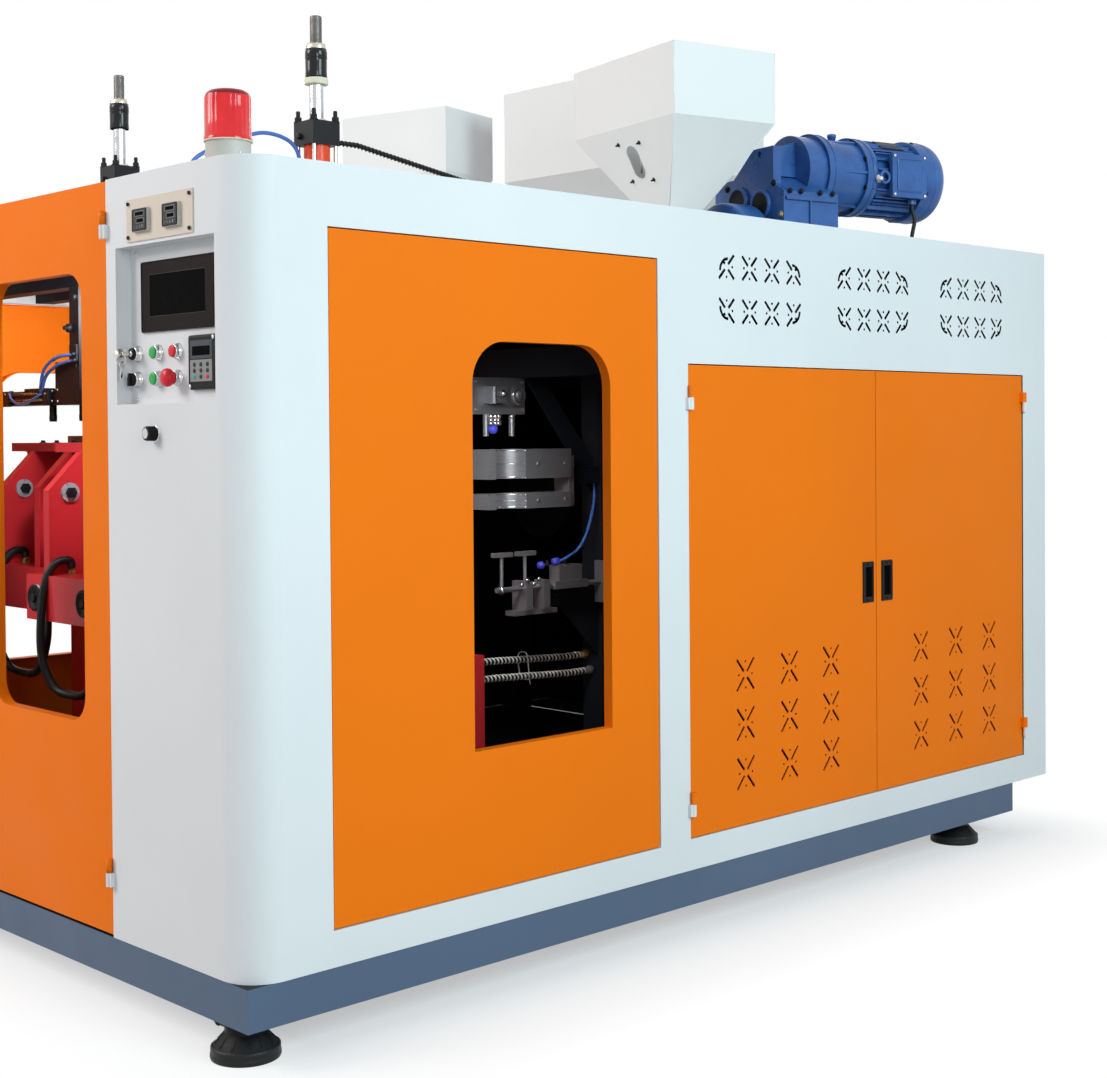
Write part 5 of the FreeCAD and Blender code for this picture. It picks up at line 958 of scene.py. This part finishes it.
def pin_guide_details(side):
    """Guide rods, end caps, screws and air lines of one pin actuator."""
    station, way = STATIONS[side], 1 if side == "left" else -1
    piece = Piece(f"pin_guide_details_{side}", "black_metal",
                  origin=lambda x, reach, z: at(x, station + way * reach, z))
    for z in (1240, 1259):
        piece.tube([(556, 205, z), (556, 432, z)], 4.2, 12, "brass")
    piece.block((549, 430, 1222), (561, 492, 1270), 2)
    piece.block((545, 486, 1236), (561, 500, 1262), 2)
    piece.block((548, 176, 1222), (561, 210, 1270), 2)
    piece.block((561, 225, 1268), (600, 350, 1276))
    for place in ((548, 450, 1262), (548, 192, 1258), (559, 168, 1266), (554, 123, 1268),
                  (559, 168, 1235), (554, 123, 1234)):
        piece.screw((4.4, 4, 2.4, 3), place)
    # the adjuster on the bracket, and the narrow rail that the bracket hangs from
    piece.block((552, 8, 1330), (560, 50, 1400), 2)
    piece.lathe((0, 0, 13, 0, 13, 12, 6, 14, 6, 24, 0, 25), (559, 49, 1449), "-X", 20)
    piece.bolt(9, (559, 20, 1540), "-X", "black_metal")
    for radius, *line in (
            (5.2, (556, 232, 1262), (547, 210, 1268), (540, 165, 1313), (540, 91, 1342),
             (548, 10, 1352)),
            (5.2, (556, 232, 1255), (545, 212, 1280), (534, 168, 1330), (534, 96, 1362),
             (546, 16, 1370)),
            (4, (550, 424, 1264), (540, 395, 1246), (536, 350, 1232), (538, 290, 1232),
             (549, 217, 1258))):
        piece.hose(line, radius, material="blue_hose")
    for reach, z in ((10, 1352), (16, 1370)):
        piece.lathe((5.2, -12, 8.5, -12, 8.5, 2, 0, 2), (552, reach, z), "X", 16)
    for reach, z in ((232, 1262), (232, 1255), (424, 1264), (217, 1258)):
        piece.lathe((0, 0, 7.5, 0, 7.5, 10, 5, 12), (561, reach, z), "-X", 16)
    for reach in (39, 222):
        piece.lathe((11.2, 4, 11.8, 6, 11.8, 18, 11.2, 20), (590, reach, 1174), "Z", 20)
        piece.lathe((0, -0.5, 6.2, -0.5, 10.8, 0), (590, reach, 1174), "Z", 20, "tool_steel")
    piece.done()


def platen_details():
    """Cap screws, sleeve bushes, port fittings and the hose that joins the two ports."""
    front_face, rear_face, mould_depth = 349, 839, 50
    bolts = (-190, -105, 0, 105, 190)
    for side, station in CLAMPS.items():
        # at rest the right station stands open by the travel of its platens
        travel = 120 if side == "right" else 0
        front = Piece(f"platen_fittings_{side}", "red_paint", f"clamp_front_{side}",
                      lambda x, y, z: at(front_face - travel + x, station + y, z))
        for y in (-130, 130):
            front.lathe((34.8, -1, 35.5, 1, 35.2, 3, 28, 3.8, 26.5, 1.8, 12, 1.4, 10, -1),
                        (-8, y, 700), "-X", 40, "cast_steel")
            front.hexagon(12.5, 6, (-9.4, y, 700), "-X", "cast_steel")
            front.plug((11, 0, 11, 10, 8.5, 14, 8.5, 22), (70, y - 60, 760), "Z", 6, "brass",
                       False)
        for y in bolts:
            front.bolt(8, (146, y, 1085), "-Z")
            front.bolt(7, (190, y, 1110))
        for y in (-150, 150):
            front.bolt(10, (200, y, 800), "-X")
        front.hose([(70, 70, 778), (62, 71, 798), (25, 74, 792), (-2, 80, 745), (-14, 86, 640),
                    (-10, 88, 540), (6, 60, 470), (18, 0, 452), (6, -120, 470),
                    (-8, -200, 560), (-8, -208, 660), (4, -203, 745), (40, -195, 792),
                    (66, -191, 798), (70, -190, 778)], 11, 14, "black_rubber", 6)
        front.done()
        rear = Piece(f"platen_bolts_{side}", "red_paint", f"clamp_rear_{side}",
                     lambda x, y, z: at(rear_face + travel + x, station + y, z))
        for y in bolts:
            rear.bolt(7, (12, y, 1110))
        for y in (-150, 150):
            rear.bolt(10, (0, y, 800), "X")
        rear.done()
        for end, way in (("front", -1), ("rear", 1)):
            mould = Piece(f"mould_fittings_{end}_{side}", "mould_steel", f"clamp_{end}_{side}")
            x = ROD_X + way * (travel + mould_depth)
            for y, port, axis in ((-120, -150, "-Y"), (120, 150, "Y")):
                mould.plug((9, 0, 9, 12, 6, 12, 6, 7), (x, station + y, 1130), "Z", 18,
                           "cast_steel")
                mould.plug((8, 0, 8, 12, 5, 16), (x, station + port, 860), axis, 12, "brass")
            mould.done()


def trim_details():
    """Fittings of the trimming unit: collar, valve, clevis, air fittings, lines and bolts."""
    piece = Piece("trim_details", "tool_steel")
    face, jaw = 560, 520
    piece.ring((1255, face - 23, 1232), 20, 3.5, "Y", 30, "chrome", 0.15, 0.75)
    piece.plug((14, 0, 14, 6, 8, 9), (1255, face - 22, 1232), "-Y", 20)
    piece.block((1158, face - 36, 1208), (1164, face - 2, 1256), 1, "chrome")
    piece.plug((10, 0, 10, 12, 6, 18), (1184, face - 30, 1236), "-Y", 12, "chrome")
    for x, y in ((1160, face - 14), (1176, face - 14), (1188, face - 14), (1255, face + 6),
                 (1258, face + 6)):
        piece.lathe((0, 0, 8.5, 0, 8.5, 10, 5.5, 12, 5.5, 20, 7.5, 20, 7.5, 30, 0, 31),
                    (x, y, 1180), "-Z", 14, "chrome")
    piece.lathe((0, 0, 12, 3, 14, 12, 9, 22, 0, 24), (1168, face - 14, 1150), "-Z", 20,
                "blue_fitting")
    for x, z in product((1118, 1290), (1192, 1268)):
        piece.plug((5.5, 0, 5.5, 4, 3, 4, 3, 1), (x, face, z), "-Y", 14)
    # jaws: the polished edges of their notches, dowels and screws
    for low, high in ((1003, 1084), (921, 963)):
        middle = (low + high) / 2
        for z, wire in ((low + 4, 1.6), (middle, 0.9), (high - 4, 1.6)):
            piece.ring((1210, jaw, z), 55.2, wire, "Z", 24, "chrome", 0.0, 0.5)
        for x in (1310, 1415):
            piece.plug((6, 0, 6, 3, 3, 3), (x, jaw, middle), "-Y", 14)
    # gripper: clevis, knobs, air fittings and their line
    for x, z in ((1245, 712), (1265, 724), (1290, 712), (1310, 724)):
        piece.screw((6, 6, 5, 7), (x, jaw, z), "-Y", 12)
    piece.lathe((7.2, 0, 12, 0, 14, 10, 7.2, 12), (1344, 540, 700), "X", 20, "chrome")
    piece.lathe((7.2, 0, 12, 2, 12, 12, 7.2, 14), (1180, 540, 700), "X", 20, "chrome")
    for x, material in ((1372, "black_metal"), (1406, "brass"), (1440, "black_metal")):
        piece.plug((6.5, 0, 6.5, 8, 4.5, 10, 4.5, 16), (x, 550, 756), "Z", 12, material)
    piece.lathe((0, 0, 9.5, 2, 10.5, 14, 6, 20, 0, 21), (1328, 540, 760), "X", 18,
                "blue_fitting")
    piece.lathe((0, 0, 10.5, 2, 11.5, 18, 6, 26, 0, 27), (1392, 548, 766), "X", 18,
                "blue_fitting")
    piece.hose([(1416, 548, 766), (1450, 549, 776), (1500, 552, 800), (1540, 556, 850),
                (1580, 570, 930), (1600, 590, 990)], 4.2, 10, "blue_hose")
    for x in (1420, 1500):
        piece.bolt(7, (x, face, 665), "-Y")
    for z in (905, 560, 430, 1100):
        piece.bolt(9, (1625, face, z), "-Y")
        piece.bolt(9, (1655, face, z - 60), "-Y")
    piece.done()


def armoured():
    """The steel winding of the two armoured hoses, their end fittings and the cable tie."""
    piece = Piece("armour_winding", "hose_steel")
    for y, z, fitting in ((605, 450, "tool_steel"), (625, 495, "brass")):
        path = bent([(1142, y, z), (1220, y, z), (1500, y, z - 14), (1600, y, z - 14)], 300)
        piece.tube(path, 8.4, 12, "black_rubber")
        piece.wound(path, 8, 2.5, 14, 6, 14)
        for end, axis in (((1142, y, z), "X"), ((1600, y, z - 14), "-X")):
            piece.lathe((0, 0, 13, 0, 13, 12, 10.5, 15, 10.5, 32, 9.2, 34), end, axis, 18,
                        fitting)
    piece.hose([(1340, 594, 437), (1338, 594, 470), (1341, 605, 507), (1342, 636, 507),
                (1341, 640, 480), (1340, 628, 440), (1340, 606, 434), (1340, 594, 437)],
               1.6, 6, "cable_tie", 6)
    piece.tube([(1340, 595, 440), (1334, 582, 424)], 1.4, 6, "cable_tie")
    piece.done("armoured_hoses")


# ---- doors, guard and feet ------------------------------------------------------------------

def windowed(piece, place, outer, hole):
    """A pressed panel: its edges folded in, and a narrow rim folded in round its window."""
    front, fold, rim_depth = 2, 26, 28
    back, part = front + SHEET, bmesh.new()
    (u0, v0), (u1, v1) = outer

    def loop(corners, depth):
        return [part.verts.new(place(u, v, depth)) for u, v in corners]

    def border(by):
        return [(u0 + by, v0 + by), (u1 - by, v0 + by), (u1 - by, v1 - by), (u0 + by, v1 - by)]

    rim = []
    for number, (u, v) in enumerate(hole):
        before, after = hole[number - 1], hole[(number + 1) % len(hole)]
        along_rim = Vector((after[0] - before[0], after[1] - before[1])).normalized()
        rim.append((u + along_rim.y * SHEET, v - along_rim.x * SHEET))
    outside = [loop(border(0), front), loop(border(0), fold), loop(border(SHEET), fold),
               loop(border(SHEET), back)]
    window = [loop(hole, front), loop(hole, front + rim_depth), loop(rim, front + rim_depth),
              loop(rim, back)]
    for rings in (outside, window):
        for first, second in zip(rings, rings[1:]):
            strip(part, first, second)
    fill(part, outside[0], window[0])
    fill(part, outside[-1], window[-1])
    bmesh.ops.recalc_face_normals(part, faces=list(part.faces))
    piece.merge(part)


def rounded_hole(u0, u1, v0, v1, radius, round_bottom, steps=10):
    """The outline of a window, anticlockwise, square below where it isn't rounded there."""
    points = []
    for u, v, turn, is_round in ((u1, v1, 0, True), (u0, v1, 1, True),
                                 (u0, v0, 2, round_bottom), (u1, v0, 3, round_bottom)):
        if not is_round:
            points.append((u, v))
            continue
        centre = (u - math.copysign(radius, u - (u0 + u1) / 2),
                  v - math.copysign(radius, v - (v0 + v1) / 2))
        for step in range(steps + 1):
            angle = math.pi / 2 * (turn + step / steps)
            points.append((centre[0] + radius * math.cos(angle),
                           centre[1] + radius * math.sin(angle)))
    return points


def panels():
    """The two front doors with their hinge halves, and the guard of the right side."""
    for side, outer, hole, hinge, way in (
            ("right", ((538, 5), (1188.5, 1697)), (654, 1100), 538, 1),
            ("left", ((1191.5, 5), (1842, 1697)), (1280, 1726), 1842, -1)):
        piece = Piece(f"door_panel_{side}", "orange_paint", f"front_door_{side}")
        windowed(piece, lambda u, v, depth: at(depth, u, v), outer,
                 rounded_hole(*hole, 470, 1503, 62, True))
        for z in FRONT_HINGES:
            piece.lathe((4.1, 0, 7, 0, 7, 31, 4.1, 31), (-8, hinge, z), "Z", 24)
            piece.plug((7, 30, 6.2, 31.2), (-8, hinge, z), "Z", 24)
            piece.block((-10.5, hinge, z), (2, hinge + way * 13, z + 30.7), 0.4)
        piece.done(f"front_door_{side}")
    guard = Piece("guard_panel", "orange_paint")
    windowed(guard, lambda u, v, depth: at(u, depth, v), ((218, 81), (1234, 1562)),
             rounded_hole(617, 1066, 403, 1339, 100, False))
    for start, low in product((215, 1234), (228, 1315)):
        guard.block((start, 8, low), (start + 3, 23, low + 60), 0)
    guard.done("side_guard_right")


def doors():
    """Pulls inside the flush handles, and washers under the lift-off hinges."""
    for name, start in (("front", 2098.5), ("rear", 2192)):
        piece = Piece(f"handle_details_{name}", "black_plastic", f"cabinet_door_{name}")
        piece.rim((start + 2, -0.2, 635), (start + 50, -0.2, 749), 5, 1.6)
        piece.block((start + 5, 3, 655), (start + 16, 14, 729), 2)
        for z in (641, 743):
            piece.screw((3.4, 3.1, 1.4, 1.8), (start + 26, -1, z), "-Y", material="cast_steel")
        piece.done()
    washers = Piece("hinge_washers", "white_paint")
    for place in (*product((1353, 2962), (-8,), (1216, 171)),
                  *product((-8,), (538, 1842), FRONT_HINGES)):
        washers.lathe((4.2, -0.6, 6.9, -0.6, 6.9, 0.4, 4.2, 0.4), place, "Z", 20, "cream_ring")
    washers.done()


def feet():
    """The cast ribs, rubber lip and screw heads of the levelling feet."""
    piece = Piece("foot_details", "cast_steel")
    for x, (y, way, axis) in product((56, 2709), ((96, 1, "Y"), (2284, -1, "-Y"))):
        centre = at(x, y, -169)
        piece.lathe((73.2, 1, 74.2, 3, 74.2, 10, 72.2, 14, 73.2, 18, 72.8, 24.5, 69, 27), centre,
                    "Z", 56, "black_rubber")
        for turn in circle(12):
            piece.loft([[centre + mm(radius * math.cos(turn) - aside * math.sin(turn),
                                     radius * math.sin(turn) + aside * math.cos(turn), z)
                         for radius, z in ((46, 26), (67, 26), (64, 33), (46, 52))]
                        for aside in (-2.4, 2.4)], capped=True)
        piece.hexagon(11.5, 10, (x, y + way * 94, -119), axis)
        piece.lathe((45, 0, 46.5, 2, 45, 6), (x, y, -103), "Z", 40)
    piece.done()


# ---- light and floor ----------------------------------------------------------------------

def area(name, place, target, size, power, colour=(1, 1, 1), spread=180):
    data = bpy.data.lights.new(name, "AREA")
    data.spread = math.radians(spread)
    data.shape = "RECTANGLE"
    data.size, data.size_y = size
    data.energy = power
    data.color = colour
    lamp = bpy.data.objects.new(name, data)
    lamp.location = place
    lamp.rotation_euler = (Vector(target) - Vector(place)).to_track_quat("-Z", "Y").to_euler()
    scene.collection.objects.link(lamp)


def seen_directly(tree):
    """1 for the rays of the camera, of mirrors and of glass, and 0 for the light's own."""
    path = add_node(tree, "ShaderNodeLightPath").outputs
    total = path["Is Camera Ray"]
    for name in ("Is Glossy Ray", "Is Transmission Ray"):
        total = add_node(tree, "ShaderNodeMath", total, path[name],
                         operation="MAXIMUM").outputs[0]
    return total


def studio():
    world = bpy.data.worlds.new("studio")
    scene.world = world
    world.use_nodes = True
    tree = world.node_tree
    tree.nodes.clear()
    place = add_node(tree, "ShaderNodeTexCoord").outputs["Generated"]
    rise = add_node(tree, "ShaderNodeSeparateXYZ", place).outputs["Z"]
    # the studio's walls give more light than its ceiling
    soft = add_node(tree, "ShaderNodeBackground", Color=(0.95, 0.97, 1.0, 1),
                    Strength=ramp(tree, rise, 0.1, 0.8, 0.70, 0.20))
    plain = add_node(tree, "ShaderNodeBackground", Color=(1, 1, 1, 1), Strength=1.0)
    mix = add_node(tree, "ShaderNodeMixShader", seen_directly(tree), soft.outputs[0],
                   plain.outputs[0])
    add_node(tree, "ShaderNodeOutputWorld", Surface=mix.outputs[0])
    # one lamp from the left of the front and one from the rear of the right side, so that
    # the rounded corner between them stays darker than both
    area("key", (-5.6, 2.6, 4.8), (-1.0, 0.0, 1.2), (3.0, 3.0), 280, (1.0, 0.96, 0.94))
    area("side", (-0.2, -6.2, 3.8), (-1.1, -1.0, 0.9), (2.4, 2.4), 212, (0.70, 0.94, 1.0))
    area("near", (-3.0, -5.6, 2.4), (-1.3, -1.0, 1.0), (1.6, 1.6), 54, (0.84, 0.96, 1.0))
    area("back", (5.5, 5.0, 4.5), (0, 0, 1.0), (5, 4), 70)
    # small lamps inside the two windows
    area("bay", (-0.93, 0.20, 1.72), (-0.95, 1.15, 1.62), (0.6, 0.2), 7, spread=110)
    area("station", (-1.38, -0.45, 1.76), (-1.08, 0.35, 0.95), (0.2, 0.1), 1.3, spread=70)
    area("tools", (-0.72, -0.98, 1.45), (-0.33, -0.62, 1.0), (0.22, 0.22), 1.4, spread=80)


def floor():
    """A white floor that keeps the machine's shadow and fades to plain white further off."""
    bpy.ops.mesh.primitive_plane_add(size=60, location=(0, 0, -0.0005))
    plane = bpy.context.object
    plane.name = "floor"
    shader = Shader("floor", (0.90, 0.90, 0.90), 0.9).mottle(0.3, 0.01).sheen(0.0)
    tree, colour = shader.tree, shader.shader.inputs["Base Color"]
    # the distance from the machine's footprint, by a fold of the plane into one quarter of it
    source = add_node(tree, "ShaderNodeTexCoord").outputs["Object"]
    for operation, *operand in (("ABSOLUTE",), ("SUBTRACT", (1.36, 1.15, 0)),
                                ("MAXIMUM", (0, 0, 0)), ("LENGTH",)):
        step = add_node(tree, "ShaderNodeVectorMath", source, *operand, operation=operation)
        source = step.outputs["Value" if operation == "LENGTH" else "Vector"]
    fade = ramp(tree, source, 0.0, 0.42, 0.48, 1.0)
    # the floor throws less light back than the camera sees of it, as a grey studio floor does
    bounce = add_node(tree, "ShaderNodeMix", data_type="RGBA", A=(0.45, 0.45, 0.45, 1),
                      B=colour.links[0].from_socket, Factor=seen_directly(tree))
    feed(colour, bounce.outputs["Result"])
    share = add_node(tree, "ShaderNodeMath", fade, seen_directly(tree), operation="MULTIPLY")
    glow = add_node(tree, "ShaderNodeEmission", Color=(1, 1, 1, 1), Strength=1.0)
    mix = add_node(tree, "ShaderNodeMixShader", share.outputs[0], shader.shader.outputs[0],
                   glow.outputs[0])
    feed(tree.nodes["Material Output"].inputs["Surface"], mix.outputs[0])
    plane.data.materials.append(shader.material)


scene.view_settings.view_transform = "Standard"
make_materials()
camera()
studio()
floor()
dress_all()
beacon()
rods()
cylinders()
air_line()
roof_hoses()
hoppers()
drives()
underside()
panels()
panel()
for station_side in STATIONS:
    pin_guide_details(station_side)
platen_details()
trim_details()
armoured()
doors()
feet()
